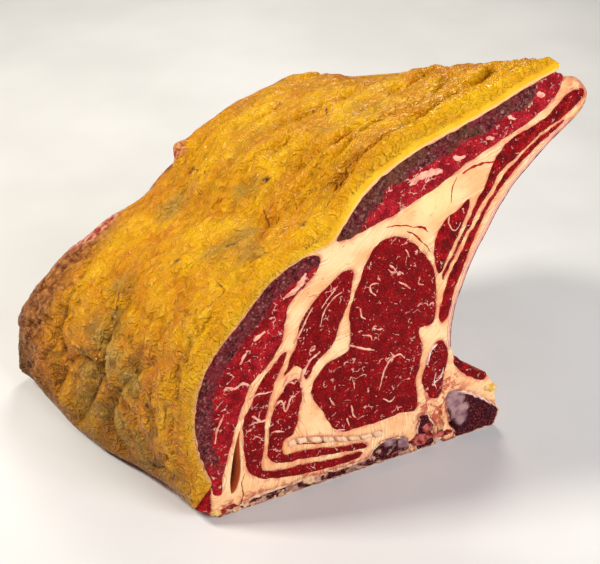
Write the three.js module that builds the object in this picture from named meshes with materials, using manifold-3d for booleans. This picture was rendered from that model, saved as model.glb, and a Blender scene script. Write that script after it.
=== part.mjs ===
// A bone-in beef rib roast, standing on its sawn spine side.
// Millimetres. X runs across the near cut face, Y runs into the roast, Z is up.
import * as THREE from 'three';
import { mergeVertices } from 'three/addons/utils/BufferGeometryUtils.js';
import Module from 'manifold-3d';

const wasm = await Module();
wasm.setup();

// Driving sizes of the whole roast
const LENGTH = 210; // from the near cut face to the far one, four ribs
const FAR_SHIFT = 36; // how far the far face sits to the left of the near one
const FAR_SHIFT_PER_X = 0.09; // the far face is this much narrower
const FAR_DROP = 0.405; // the far face is this much lower at x = 0
const FAR_DROP_PER_X = 0.00075; // and less so towards the rib tips
const TIP_DROP_FROM = 185; // beyond this x the far tips sink again
const TIP_DROP_PER_X = 0.0012;
const FOOT_FLARE = 8; // the fat bulges at the ground on the far left
const GAP = 0.35; // clearance round every piece that sits in another
const OVERRUN = 4; // how far a cutter reaches past what it cuts

// Bones
const RIB_COUNT = 4;
const RIB_PITCH = 52;
const RIB_FIRST_Y = 26;
const RIB_HALF_WIDTH = 14.5;
const RIB_PROUD = 3; // a rib stands this far out of the chest side
const RIB_DEPTH = 5.5; // and reaches this far in
const VERTEBRA_GAP = 4; // the disc between two vertebrae
const VERTEBRA_WAIST = 1.6;
const FEATHER_WIDTH = 36; // a feather bone along the roast

// Fat cap
const NEAR_EDGE_ROUND = 3; // how far the cap is drawn in at the near cut face
const FAR_EDGE_ROUND = 4; // and at the far one
const FAT_STEP = 7; // facet size round the cap
const FAT_ROW = 8.5; // facet size along the cap

// Outlines on the near cut face, as [x, z] read off it
const FAT_OUTER = [[-21, 13], [-24, 32], [-27, 52], [-27, 72], [-23, 96], [-12, 122], [6, 146],
  [30, 167], [52, 179], [71, 190], [85, 206], [100, 224], [116, 236], [136, 242], [156, 248],
  [190, 257], [212, 264], [223, 265]];
const FAT_TIP = [231, 258];
const FAT_INNER = [[-8, 27], [-13, 42], [-17, 60], [-17.5, 80], [-14, 100], [-5, 118], [8, 133],
  [21, 147], [34, 160], [48, 168], [62, 172], [74, 175], [83, 185], [92, 198], [104, 209],
  [120, 218], [140, 226], [164, 233], [190, 242], [214, 251], [229, 255]];
const LIP = [[236, 250.5], [243, 249.5], [250, 244], [255, 236], [253, 228]];
const CHEST_SIDE = [[244, 219], [230, 208], [216, 196], [204, 184], [193, 168], [184, 151],
  [176, 135], [171, 121], [167, 108], [165, 93], [165, 78]];
const CHINE_SIDE = [[168, 67], [174.5, 61], [182, 54.5], [189, 49.5], [195, 46], [200, 39],
  [203, 31], [205, 20], [204, 7], [200, 0]];
const FOOT = [[-4, 0], [-10, 4]];

const EYE = [[119, 169], [128, 165], [138, 155], [146, 143], [150, 132], [151.3, 118], [149, 99],
  [140, 98], [140, 91], [143, 84], [142, 72], [139, 58], [141, 42], [139, 34], [128, 36],
  [116, 34.5], [98, 35], [84, 36], [77, 42], [70, 56], [62, 71], [63, 80], [73, 92], [88, 97],
  [89, 108], [88, 122], [91, 135], [97, 151], [104, 165], [111, 169]];
const CAP_UPPER = [[90, 153], [83, 154], [71, 146], [60, 136], [54, 126], [51, 112], [47, 103],
  [43, 92], [50, 97], [55, 93], [58, 85], [64, 94], [77, 106], [81, 118], [87, 132], [89, 143]];
const CAP_OUTER = [[44, 109], [33, 100], [24, 89], [20, 77], [15, 69], [14, 54], [15, 38],
  [18, 27], [25, 20], [34, 16.5], [56, 12], [78, 10], [98, 10.5], [100, 13.5], [78, 16],
  [56, 19.5], [36, 22], [27, 26], [28, 42], [29, 60], [33, 80], [38, 94], [44, 105]];
const CAP_INNER = [[51, 87], [45, 85], [39, 77], [34, 66], [32, 48], [31, 34], [36, 28],
  [61, 23.5], [83, 19.5], [103, 17], [103, 20], [83, 24], [64, 29.5], [42, 33.5], [42, 43],
  [49, 47], [53, 62], [55, 77]];
const BLADE = [[70, 180], [58, 178], [40, 172], [22, 160], [4, 141], [-14, 122], [-22, 100],
  [-25, 78], [-24, 54], [-18, 32], [-9, 19], [-2, 17], [-1, 28], [3, 42], [7, 58], [11, 70],
  [16, 84], [20, 93], [31, 103], [39, 114], [43, 126], [46, 142], [57, 152], [66, 161]];
const BACK = [[236, 262], [214, 260], [184, 248], [150, 238], [122, 228], [98, 212], [84, 196],
  [76, 176], [87, 176], [101, 180], [116, 184], [132, 190], [149, 197], [167, 207], [184, 214],
  [202, 221], [220, 230], [231, 239]];
const RIB_MUSCLE_INNER = [[171, 183], [165, 178], [154, 171], [149, 162], [147.5, 152],
  [150, 140], [153, 134.5], [156.5, 142.5], [161, 151.5], [166.5, 162.5], [171.5, 176]];
const RIB_MUSCLE_MIDDLE = [[248, 241], [240, 238], [232, 232], [221, 224], [212, 221], [204, 218],
  [196, 214.5], [192, 210], [188, 204], [185, 195], [177, 179], [171, 164], [163.5, 149.8],
  [155.8, 135.6], [155, 129], [158, 134], [166, 150], [174, 163], [182, 179], [187, 185],
  [191, 192], [196, 198], [203, 202.5], [212, 208.8], [220, 214.5], [227, 218.5], [239, 224],
  [246, 228.5], [252, 234], [252, 239]];
const RIB_MUSCLE_OUTER = [[238, 221.5], [240, 221], [236, 218], [222, 209], [214, 203],
  [206, 196.5], [194, 183.5], [184, 169], [177, 152], [170, 134], [164, 115], [161, 101],
  [157, 97], [154.5, 100], [154.5, 106], [156, 116], [162, 135], [170, 150], [179.5, 166],
  [188.5, 181], [192.5, 188], [197, 194], [209, 204.2], [223, 213.6], [230, 217.8]];
const CHINE_MUSCLE = [[154, 84], [159, 82], [162.5, 76], [163, 68], [162, 60], [161, 52],
  [160.5, 43], [157, 38], [152, 40], [148, 46], [144.5, 54], [145, 63], [148, 71], [150, 78]];
const STRAP_MUSCLE = [[169, 67.5], [175, 61.7], [182.5, 55.2], [189.5, 50.1], [195, 46.5],
  [196, 43], [194, 41], [188, 43.5], [180, 49], [173, 56.5], [168, 62.5]];
const LIGAMENT = [[45, 38], [56, 36.5], [70, 32.5], [88, 26.5], [104, 23.5], [114, 22.5],
  [114, 26], [104, 27], [88, 30.5], [72, 36], [56, 41], [47, 42]];
const FOOT_MUSCLE = [[-20, 12], [-15, 8], [-11, 6], [-9.5, 15], [-9.5, 24], [-15, 18.5]];
const CHINE_BONE = [[165, 39], [164, 29], [167, 17], [172, 5], [174, -6], [204, -6], [208, 5],
  [208, 15], [198, 23], [188, 31], [178, 37], [171, 40]];
const ARCH_BONE = [[143, 29], [141.5, 20], [141.5, 8], [143, -6], [155, -6], [156, 12],
  [153, 24], [149, 29]];
const FEATHER_BONE = [[6, -6], [7, 2], [11, 5], [18, 7], [34, 8], [62, 8], [80, 7.5], [102, 8],
  [110, 15], [120, 18], [130, 16], [136, 10], [137, -6]];
const SPINAL_CANAL = [[158.5, 30], [158, 16], [158, -6], [164, -6], [164, 12], [162, 22],
  [161, 31]];
const SLIT = [[12, 62], [9.3, 55], [7, 45], [5, 34], [4, 24], [5, 15], [7.5, 16], [10.5, 23],
  [11.8, 34], [11.6, 45], [11.6, 54]];
const SLIT_DEPTH = 9;

// Creases in the cap: each runs through [distance round the cap, distance along the roast]
const CREASES = [
  { depth: 4.2, width: 6, path: [[250, 16], [285, 11], [320, 10], [350, 14], [385, 30]] },
  { depth: 3.6, width: 7, path: [[300, 128], [330, 118], [352, 116]] },
  { depth: 4.8, width: 8, path: [[130, 107], [100, 103], [70, 100], [42, 107], [8, 122]] },
  { depth: 4.4, width: 7, path: [[96, 46], [80, 62], [56, 77], [28, 86], [8, 74]] },
  { depth: 2.4, width: 6, path: [[4, 58], [14, 30], [22, 8]] },
  { depth: 2.8, width: 7, path: [[252, 178], [228, 160], [200, 150], [184, 130]] },
  { depth: 2.4, width: 8, path: [[186, 84], [196, 60], [224, 42], [250, 34]] },
  { depth: 3.4, width: 8, path: [[60, 150], [86, 160], [120, 164], [150, 176]] },
  { depth: 3.4, width: 7, path: [[20, 150], [44, 146], [66, 130], [70, 112]] },
];
const SWELLS = [
  { height: 2.0, round: 21, along: 34, shift: 0.4 },
  { height: 1.3, round: 11, along: 19, shift: 1.9 },
  { height: 0.7, round: 6.4, along: 9.7, shift: 3.1 },
];
const NUB = { round: 272, along: 203, height: 9, width: 11, length: 7 };
// How far the cap stands out of its outline: at the far end, by distance round it, and at its
// foot, by distance along the roast
const FAR_SWELL = [[0, 0], [25, 4], [41, 8], [61, 7.5], [80, 6], [97, 5], [109, 3.5], [126, 2],
  [158, 3.5], [184, 3.5], [196, 2.5], [210, 0], [229, -3], [250, -8], [273, -9], [286, -4],
  [297, 2], [323, 3.5], [346, 5], [368, 4], [391, 3.5], [412, 1]];
const FAR_SWELL_LENGTH = 75;
const FOOT_SWELL = [[0, 0], [32, 0], [46, 2], [64, 3.5], [78, 6], [94, 8], [130, 8], [152, 6],
  [172, 5], [194, 2], [210, 0]];
const TOP_SAG = 2.5; // how far the cap sinks along the middle of the tips' side
const FOOT_OUT = 0.6; // how much of the foot's swelling goes out
const FOOT_DOWN = 0.75; // and how much goes down

// How far a value is through a range, eased, from 0 to 1
function ease(from, to, value) {
  return THREE.MathUtils.smoothstep(value, from, to);
}

// Where a point of the near cut face lies at a distance along the roast
function place(x, z, y) {
  const t = THREE.MathUtils.clamp(y / LENGTH, 0, 1);
  const drop = FAR_DROP - FAR_DROP_PER_X * x + TIP_DROP_PER_X * Math.max(0, x - TIP_DROP_FROM);
  const low = (1 - ease(20, 60, z)) * (1 - ease(-10, 50, x));
  const flare = FOOT_FLARE * ease(0.15, 0.7, t) * low;
  return [x - t * (FAR_SHIFT + FAR_SHIFT_PER_X * x) - flare, y, z * (1 - t * drop)];
}

// Points evenly spaced on a smooth curve through the given ones
function curve(points, step, closed = false) {
  const knots = points.map(([x, z]) => new THREE.Vector3(x, z, 0));
  const path = new THREE.CatmullRomCurve3(knots, closed, 'centripetal');
  path.arcLengthDivisions = 400;
  const count = Math.max(6, Math.round(path.getLength() / step));
  const spaced = path.getSpacedPoints(count).map((p) => [p.x, p.y]);
  return closed ? spaced.slice(0, -1) : spaced;
}

// The same ring, always anticlockwise as the near cut face shows it
function anticlockwise(ring) {
  const area = THREE.ShapeUtils.area(ring.map(([x, z]) => new THREE.Vector2(x, z)));
  return area < 0 ? [...ring].reverse() : ring;
}

// Unit vectors that point out of a ring, one for each of its points
function outwards(ring, closed = true) {
  const last = ring.length - 1;
  return ring.map((point, i) => {
    const before = closed ? ring[(i + last) % ring.length] : ring[Math.max(0, i - 1)];
    const after = closed ? ring[(i + 1) % ring.length] : ring[Math.min(last, i + 1)];
    const dx = after[0] - before[0];
    const dz = after[1] - before[1];
    const size = Math.hypot(dx, dz);
    return [dz / size, -dx / size];
  });
}

// An anticlockwise ring moved out by a distance, with its sharp corners kept sharp
function grow(ring, distance) {
  const normals = outwards(ring);
  return ring.map(([x, z], i) => {
    const next = ring[(i + 1) % ring.length];
    const size = Math.hypot(next[0] - x, next[1] - z);
    const lean = (normals[i][0] * (next[1] - z) - normals[i][1] * (next[0] - x)) / size;
    const reach = distance / Math.max(0.45, lean);
    return [x + normals[i][0] * reach, z + normals[i][1] * reach];
  });
}

// A closed solid through rings of the same number of points, each with its distance along
function loft(sections) {
  const ringSize = sections[0].ring.length;
  const positions = sections.flatMap(({ ring, y }) => ring.flatMap(([x, z]) => place(x, z, y)));
  const flat = sections[0].ring.map(([x, z]) => new THREE.Vector2(x, z));
  const cap = THREE.ShapeUtils.triangulateShape(flat, []);
  const farFlat = sections.at(-1).ring.map(([x, z]) => new THREE.Vector2(x, z));
  const farCap = THREE.ShapeUtils.triangulateShape(farFlat, []);
  const farStart = (sections.length - 1) * ringSize;
  const indices = cap.flat();
  farCap.forEach(([a, b, c]) => indices.push(farStart + a, farStart + c, farStart + b));
  for (let row = 0; row < sections.length - 1; row += 1) {
    for (let i = 0; i < ringSize; i += 1) {
      const a = row * ringSize + i;
      const b = row * ringSize + ((i + 1) % ringSize);
      indices.push(a, b + ringSize, b, a, a + ringSize, b + ringSize);
    }
  }
  const geometry = new THREE.BufferGeometry();
  geometry.setAttribute('position', new THREE.Float32BufferAttribute(positions, 3));
  geometry.setIndex(indices);
  return solid(geometry);
}

// One ring carried along the roast, with its ends drawn out straight by an overrun
function run(ring, from = 0, to = LENGTH, startOver = 0, endOver = startOver) {
  const turned = anticlockwise(ring);
  const rows = [from - startOver, from, to, to + endOver];
  const distinct = rows.filter((y, i) => i === 0 || y > rows[i - 1]);
  return loft(distinct.map((y) => ({ ring: turned, y })));
}

// A geometry as a solid that can be cut
function solid(geometry) {
  const bare = geometry.clone();
  bare.deleteAttribute('normal');
  bare.deleteAttribute('uv');
  const merged = mergeVertices(bare, 1e-5);
  const mesh = new wasm.Mesh({
    numProp: 3,
    vertProperties: new Float32Array(merged.attributes.position.array),
    triVerts: new Uint32Array(merged.index.array),
  });
  return new wasm.Manifold(mesh);
}

// A solid as a geometry with flat normals
function surface(body) {
  const mesh = body.getMesh();
  const geometry = new THREE.BufferGeometry();
  const corners = new Float32Array(mesh.vertProperties);
  geometry.setAttribute('position', new THREE.BufferAttribute(corners, 3));
  geometry.setIndex(new THREE.BufferAttribute(new Uint32Array(mesh.triVerts), 1));
  geometry.computeVertexNormals();
  return geometry;
}

// The largest single piece of a solid
function largest(body) {
  const pieces = body.decompose();
  return pieces.reduce((best, piece) => (piece.volume() > best.volume() ? piece : best));
}

// How near a place on the cap is to a crease, and how deep the crease is there
function creaseDepth(round, along) {
  let depth = 0;
  for (const crease of CREASES) {
    let nearest = Infinity;
    for (let i = 0; i < crease.path.length - 1; i += 1) {
      const [r0, a0] = crease.path[i];
      const [r1, a1] = crease.path[i + 1];
      const length = (r1 - r0) ** 2 + (a1 - a0) ** 2;
      const share = ((round - r0) * (r1 - r0) + (along - a0) * (a1 - a0)) / length;
      const s = THREE.MathUtils.clamp(share, 0, 1);
      nearest = Math.min(nearest, Math.hypot(round - r0 - s * (r1 - r0), along - a0 - s * (a1 - a0)));
    }
    depth += crease.depth * Math.exp(-((nearest / crease.width) ** 2));
  }
  return depth;
}

// Height of the cap's folds and lumps above its smooth outline
function capRelief(round, along) {
  let height = -creaseDepth(round, along);
  for (const swell of SWELLS) {
    const across = Math.sin(round / swell.round + swell.shift + along / 90);
    height += swell.height * across * Math.sin(along / swell.along + swell.shift * 2 + round / 70);
  }
  const nub = ((round - NUB.round) / NUB.width) ** 2 + ((along - NUB.along) / NUB.length) ** 2;
  return height + NUB.height * Math.exp(-nub);
}

// A value read off a table of [place, value], straight between its entries
function lookUp(table, at) {
  const next = table.findIndex(([place]) => place > at);
  if (next <= 0) {
    return next === 0 ? table[0][1] : table[table.length - 1][1];
  }
  const [[from, low], [to, high]] = [table[next - 1], table[next]];
  return low + ((high - low) * (at - from)) / (to - from);
}

// How far the cap swells out of its outline, or is drawn in at each end of the roast
function capOutset(round, along) {
  const thick = 0.15 + 0.85 * ease(0, 40, round) * (1 - ease(370, 410, round));
  const near = NEAR_EDGE_ROUND * (1 - ease(0, 7, along));
  const far = FAR_EDGE_ROUND * (1 - Math.sqrt(1 - ease(LENGTH - 11, LENGTH, along) ** 2));
  const swell = lookUp(FAR_SWELL, round) * ease(LENGTH - FAR_SWELL_LENGTH, LENGTH - 8, along);
  const foot = FOOT_OUT * lookUp(FOOT_SWELL, along) * (1 - ease(12, 75, round));
  const sag = TOP_SAG * ease(330, 385, round) * ease(5, 60, along) * (1 - ease(140, 185, along));
  return swell + foot - sag - thick * (near + far);
}

// The cap of yellow fat, from its foot over the top to the rib tips
function fatCap() {
  const outer = curve(FAT_OUTER, FAT_STEP);
  const normals = outwards(outer, false);
  const backing = [FAT_TIP, [218, 244], [160, 224], [110, 202], [84, 176], [60, 160], [30, 142],
    [8, 120], [-3, 92], [-5, 60], [0, 30], [-7, 26], [-15, 18.8 + GAP]];
  const rows = [0, 3];
  for (let y = FAT_ROW; y < LENGTH - 6; y += FAT_ROW) {
    rows.push(y);
  }
  rows.push(LENGTH - 5, LENGTH - 1.5, LENGTH);
  const sections = rows.map((y) => {
    const skin = outer.map(([x, z], i) => {
      const round = i * FAT_STEP;
      const fade = ease(0, 14, round) * (1 - ease(395, 412, round)) * ease(-4, 10, y);
      const height = capOutset(round, y) + capRelief(round, y) * fade;
      const droop = FOOT_DOWN * lookUp(FOOT_SWELL, y) * (1 - ease(0, 40, round));
      return [x - normals[i][0] * height, Math.max(0.4, z - normals[i][1] * height - droop)];
    });
    return { ring: anticlockwise([...skin, ...backing]), y };
  });
  const inside = curve(FAT_INNER, 9);
  const clear = [...inside, [260, 262], [260, -30], [-11, -30], [-10.5, 4]];
  return largest(loft(sections).subtract(run(clear, 0, LENGTH, OVERRUN)));
}

// Everything inside the cap, before the muscles and bones are cut from it
function core() {
  const inside = curve(FAT_INNER, 9);
  const normals = outwards(inside, false);
  const lining = inside.map(([x, z], i) => [x + normals[i][0] * GAP, z + normals[i][1] * GAP]);
  const chest = curve([...LIP, ...CHEST_SIDE], 9);
  const ring = [...lining, ...chest, ...CHINE_SIDE, ...FOOT];
  return run(ring);
}

// A piece that runs through the roast, and the channel that it lies in
function channelled(outline, step) {
  const ring = anticlockwise(curve(outline, step, true));
  const long = run(ring, 0, LENGTH, OVERRUN);
  return { piece: run(ring), channel: run(grow(ring, GAP), 0, LENGTH, OVERRUN).add(long) };
}

// As above, for a bone that reaches below the ground until it is sawn off level with it
function sawn(ring, from, to, waist = 0) {
  const turned = anticlockwise(ring);
  const rows = [[from, 1.2], [from + 4, 0], [to - 4, 0], [to, 1.2]];
  if (waist > 0) {
    rows.splice(2, 0, [(from + to) / 2, waist]);
  }
  const whole = loft(rows.map(([y, inset]) => ({ ring: grow(turned, -inset), y })));
  const startOver = from <= 0 ? OVERRUN : GAP;
  const endOver = to >= LENGTH ? OVERRUN : GAP;
  const channel = run(grow(turned, GAP), from, to, startOver, endOver);
  return { piece: whole.trimByPlane([0, 0, 1], 0), channel };
}

// A rib bone: an oval bar that follows the chest side from the spine to the tips
function rib(y, outset = 0) {
  const ends = { top: [255 + outset * 3, 230 + outset * 2], foot: [165, 88 - outset * 2] };
  const line = curve([ends.top, ...CHEST_SIDE.slice(0, -1), ends.foot], 19);
  const normals = outwards(line, false);
  const middle = (RIB_PROUD - RIB_DEPTH) / 2;
  const half = (RIB_PROUD + RIB_DEPTH) / 2;
  const width = RIB_HALF_WIDTH + outset;
  const shares = [-0.97, -0.7, 0, 0.7, 0.97];
  const sections = shares.map((share) => {
    const thick = half * Math.sqrt(1 - share ** 4) + outset;
    const side = (sign) => line.map(([x, z], i) => {
      const out = -(middle + sign * thick);
      return [x + normals[i][0] * out, z + normals[i][1] * out];
    });
    return { ring: anticlockwise([...side(1), ...side(-1).reverse()]), y: y + share * width };
  });
  return loft(sections);
}

// The bones, each with its name and its channel
function bones() {
  const found = [];
  for (let i = 0; i < RIB_COUNT; i += 1) {
    const y = RIB_FIRST_Y + i * RIB_PITCH;
    const start = i === 0 ? 0 : y - RIB_PITCH / 2 + VERTEBRA_GAP / 2;
    const end = i === RIB_COUNT - 1 ? LENGTH : y + RIB_PITCH / 2 - VERTEBRA_GAP / 2;
    const feather = i === 0 ? 0 : y - FEATHER_WIDTH / 2;
    found.push({ name: `rib_${i + 1}`, piece: rib(y), channel: rib(y, GAP), colour: 0xd9c6b0 });
    found.push({
      name: `chine_bone_${i + 1}`,
      ...sawn(CHINE_BONE, start, end, VERTEBRA_WAIST),
      colour: 0x6f2a30,
    });
    found.push({ name: `arch_bone_${i + 1}`, ...sawn(ARCH_BONE, start, end - 6), colour: 0x8d3f3f });
    found.push({
      name: `feather_bone_${i + 1}`,
      ...sawn(FEATHER_BONE, feather, feather + FEATHER_WIDTH),
      colour: 0xcdb092,
    });
  }
  return found;
}

// The muscles, each with its name, its outline and the facet size round it
function muscles() {
  const red = 0x8c1626;
  const list = [
    ['eye_muscle', EYE, 7],
    ['cap_muscle_upper', CAP_UPPER, 7],
    ['cap_muscle_outer', CAP_OUTER, 8],
    ['cap_muscle_inner', CAP_INNER, 7],
    ['rib_muscle_inner', RIB_MUSCLE_INNER, 6],
    ['rib_muscle_middle', RIB_MUSCLE_MIDDLE, 9],
    ['rib_muscle_outer', RIB_MUSCLE_OUTER, 9],
    ['chine_muscle', CHINE_MUSCLE, 6],
    ['strap_muscle', STRAP_MUSCLE, 6],
    ['ligament', LIGAMENT, 8],
  ];
  return list.map(([name, outline, step]) => ({
    name,
    ...channelled(outline, step),
    colour: name === 'ligament' ? 0xe6dccb : red,
  }));
}

// The two muscles under the cap, trimmed where the cap lies on them
function capMuscles(body) {
  const list = [['blade_muscle', BLADE], ['back_muscle', BACK]];
  return list.map(([name, outline]) => {
    const { piece, channel } = channelled(outline, 8);
    return { name, piece: largest(piece.intersect(body)), channel, colour: 0x7a1f2b };
  });
}

// A named mesh with its own finish
function mesh(name, body, colour, roughness) {
  const material = new THREE.MeshStandardMaterial({ color: colour, roughness, metalness: 0 });
  const made = new THREE.Mesh(surface(body), material);
  made.name = name;
  return made;
}

// The whole roast, centred over the origin and standing on z = 0
function roast() {
  const group = new THREE.Group();
  group.name = 'rib_roast';
  const body = core();
  const hard = bones();
  const soft = muscles();
  const under = capMuscles(body);
  const foot = channelled(FOOT_MUSCLE, 5);
  let seam = body;
  for (const { channel } of [...hard, ...soft, ...under]) {
    seam = seam.subtract(channel);
  }
  seam = seam.subtract(foot.channel);
  seam = seam.subtract(run(SPINAL_CANAL, 0, LENGTH, OVERRUN));
  seam = seam.subtract(run(SLIT, 0, SLIT_DEPTH, OVERRUN, 0));
  const cap = fatCap().subtract(foot.channel);
  group.add(mesh('fat_cap', largest(cap), 0xe0a41a, 0.45));
  group.add(mesh('seam_fat', largest(seam), 0xeec79c, 0.5));
  group.add(mesh('foot_muscle', foot.piece, 0x8c1626, 0.4));
  for (const { name, piece, colour } of [...under, ...soft]) {
    const cut = hard.reduce((left, bone) => left.subtract(bone.channel), piece);
    group.add(mesh(name, largest(cut), colour, 0.4));
  }
  for (const { name, piece, colour } of hard) {
    group.add(mesh(name, piece, colour, 0.6));
  }
  const box = new THREE.Box3().setFromObject(group);
  const middle = box.getCenter(new THREE.Vector3());
  for (const part of group.children) {
    part.geometry.translate(-middle.x, -middle.y, -box.min.z);
  }
  return group;
}

export default roast();
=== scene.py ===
"""A dry-aged bone-in beef rib roast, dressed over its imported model.

Every piece is modelled straight, in millimetres, as its outline on the near cut face (x, z)
carried along the roast (y). One function then bends it into the roast, in metres.
"""

import logging
import math
import random
from collections.abc import Iterable, Sequence
from dataclasses import dataclass, field
from enum import Enum

import bmesh
import bpy
import numpy as np
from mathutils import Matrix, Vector, kdtree, noise


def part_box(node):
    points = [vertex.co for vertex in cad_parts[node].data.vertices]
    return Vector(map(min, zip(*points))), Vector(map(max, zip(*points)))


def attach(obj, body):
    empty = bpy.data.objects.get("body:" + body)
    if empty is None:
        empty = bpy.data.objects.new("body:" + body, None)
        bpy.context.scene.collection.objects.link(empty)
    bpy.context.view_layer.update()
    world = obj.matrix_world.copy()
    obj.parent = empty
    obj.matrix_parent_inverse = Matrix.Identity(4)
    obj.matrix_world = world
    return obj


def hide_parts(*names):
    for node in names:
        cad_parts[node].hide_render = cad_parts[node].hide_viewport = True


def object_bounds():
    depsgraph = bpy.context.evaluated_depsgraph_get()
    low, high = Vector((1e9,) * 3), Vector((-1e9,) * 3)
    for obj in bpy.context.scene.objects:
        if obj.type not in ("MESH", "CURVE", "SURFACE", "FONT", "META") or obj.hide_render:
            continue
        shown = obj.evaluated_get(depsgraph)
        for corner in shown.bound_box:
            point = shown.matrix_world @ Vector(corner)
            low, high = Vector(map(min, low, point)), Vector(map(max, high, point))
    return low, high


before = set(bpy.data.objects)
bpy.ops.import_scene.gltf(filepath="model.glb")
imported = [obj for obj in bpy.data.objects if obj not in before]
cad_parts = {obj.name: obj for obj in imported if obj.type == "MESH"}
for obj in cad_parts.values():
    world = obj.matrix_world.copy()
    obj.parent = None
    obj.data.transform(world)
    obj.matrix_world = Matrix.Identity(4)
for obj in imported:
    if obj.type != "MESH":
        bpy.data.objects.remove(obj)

log = logging.getLogger("rib_roast")

Point = tuple[float, float]
Ring = list[Point]

# The roast, in millimetres, as the frame has it
MM = 0.001
CAD_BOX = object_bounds()
LENGTH = (CAD_BOX[1].y - CAD_BOX[0].y) / MM
MIDDLE_X = 94.55
FAR_SHIFT = 36.0
FAR_SHIFT_PER_X = 0.09
FAR_DROP = 0.405
FAR_DROP_PER_X = 0.00075
TIP_DROP_FROM = 185.0
TIP_DROP_PER_X = 0.0012
FOOT_FLARE = 8.0
OVERRUN = 4.0
RIB_PITCH = 52.0
RIB_FIRST = 26.0
RIB_HALF_WIDTH = 14.5
RIB_PROUD = 3.0
RIB_DEPTH = 5.5

# Outlines on the near cut face
FAT_OUTER = ((-21, 13), (-24, 32), (-27, 52), (-27, 72), (-23, 96), (-12, 122), (6, 146),
             (30, 167), (52, 179), (71, 190), (85, 206), (100, 224), (116, 236), (136, 242),
             (156, 248), (190, 257), (212, 264), (223, 265))
FAT_TIP = (231, 258)
FAT_INNER = ((-8, 27), (-13, 42), (-17, 60), (-17.5, 80), (-14, 100), (-5, 118), (8, 133),
             (21, 147), (34, 160), (48, 168), (62, 172), (74, 175), (83, 185), (92, 198),
             (104, 209), (120, 218), (140, 226), (164, 233), (190, 242), (214, 251), (229, 255))
LIP = ((236, 250.5), (243, 249.5), (250, 244), (255, 236), (253, 228))
CHEST_SIDE = ((244, 219), (230, 208), (216, 196), (204, 184), (193, 168), (184, 151),
              (176, 135), (171, 121), (167, 108), (165, 93), (165, 78))
CHINE_SIDE = ((168, 67), (174.5, 61), (182, 54.5), (189, 49.5), (195, 46), (200, 39), (203, 31),
              (205, 20), (204, 7), (200, 0))
FOOT = ((-4, 0), (-10, 4))
EYE = ((119, 169), (128, 165), (138, 155), (146, 143), (150, 132), (151.3, 118), (149, 99),
       (140, 98), (140, 91), (143, 84), (142, 72), (139, 58), (141, 42), (139, 34), (128, 36),
       (116, 34.5), (98, 35), (84, 36), (77, 42), (70, 56), (62, 71), (63, 80), (73, 92),
       (88, 97), (89, 108), (88, 122), (91, 135), (97, 151), (104, 165), (111, 169))
CAP_UPPER = ((90, 153), (83, 154), (71, 146), (60, 136), (54, 126), (51, 112), (47, 103),
             (43, 92), (50, 97), (55, 93), (58, 85), (64, 94), (77, 106), (81, 118), (87, 132),
             (89, 143))
CAP_OUTER = ((44, 109), (33, 100), (24, 89), (20, 77), (15, 69), (14, 54), (15, 38), (18, 27),
             (25, 20), (34, 16.5), (56, 12), (78, 10), (98, 10.5), (100, 13.5), (78, 16),
             (56, 19.5), (36, 22), (27, 26), (28, 42), (29, 60), (33, 80), (38, 94), (44, 105))
CAP_INNER = ((51, 87), (45, 85), (39, 77), (34, 66), (32, 48), (31, 34), (36, 28), (61, 23.5),
             (83, 19.5), (103, 17), (103, 20), (83, 24), (64, 29.5), (42, 33.5), (42, 43),
             (49, 47), (53, 62), (55, 77))
BLADE = ((66, 169), (58, 171), (48, 167.5), (34, 159.5), (21, 146.5), (8, 132.5), (-5, 117.5),
         (-13.5, 100), (-17, 80), (-16.5, 60), (-12.5, 42), (-8, 27), (-7, 19), (-2, 17),
         (-1, 28), (3, 42), (7, 58), (11, 70), (16, 84), (20, 93), (31, 103), (39, 114),
         (43, 126), (46, 142), (57, 152), (66, 161))
BACK = ((235, 250), (229, 254.5), (214, 250.5), (190, 241.5), (164, 232.5), (140, 225.5),
        (120, 217.5), (104, 208.5), (92, 197.5), (83, 184.5), (78, 176.5), (87, 176),
        (101, 180), (116, 184), (132, 190), (149, 197), (167, 207), (184, 214), (202, 221),
        (220, 230), (231, 239))
RIB_MUSCLE_INNER = ((171, 183), (165, 178), (154, 171), (149, 162), (147.5, 152), (150, 140),
                    (153, 134.5), (156.5, 142.5), (161, 151.5), (166.5, 162.5), (171.5, 176))
RIB_MUSCLE_MIDDLE = ((248, 241), (240, 238), (232, 232), (227, 226.5), (221, 224), (212, 221),
                     (204, 218), (196, 214.5), (192, 210), (188, 204), (185, 195), (181, 186),
                     (177, 179), (174, 171), (171, 164), (167.4, 157.8), (163.5, 149.8),
                     (159.5, 142.8), (155.8, 135.6), (155, 129), (158, 134), (162, 142),
                     (166, 150), (170, 157), (174, 163), (178, 172), (182, 179), (187, 185),
                     (191, 192), (196, 198), (203, 202.5), (212, 208.8), (220, 214.5),
                     (227, 218.5), (233, 221.5), (239, 224), (246, 228.5), (252, 234), (252, 239))
RIB_MUSCLE_OUTER = ((238, 221.5), (240, 221), (236, 218), (229, 213.5), (222, 209), (214, 203),
                    (206, 196.5), (200, 190), (194, 183.5), (189, 176.5), (184, 169), (177, 152),
                    (170, 134), (164, 115), (161, 101), (157, 97), (154.5, 100), (154.5, 106),
                    (156, 116), (158.5, 126), (162, 135), (166, 143), (170, 150), (174.5, 158),
                    (179.5, 166), (184, 174), (188.5, 181), (192.5, 188), (197, 194), (202, 198.8),
                    (209, 204.2), (216, 209.2), (223, 213.6), (230, 217.8))
CHINE_MUSCLE = ((154, 84), (159, 82), (162.5, 76), (163, 68), (162, 60), (161, 52), (160.5, 43),
                (157, 38), (152, 40), (148, 46), (144.5, 54), (145, 63), (148, 71), (150, 78))
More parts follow.
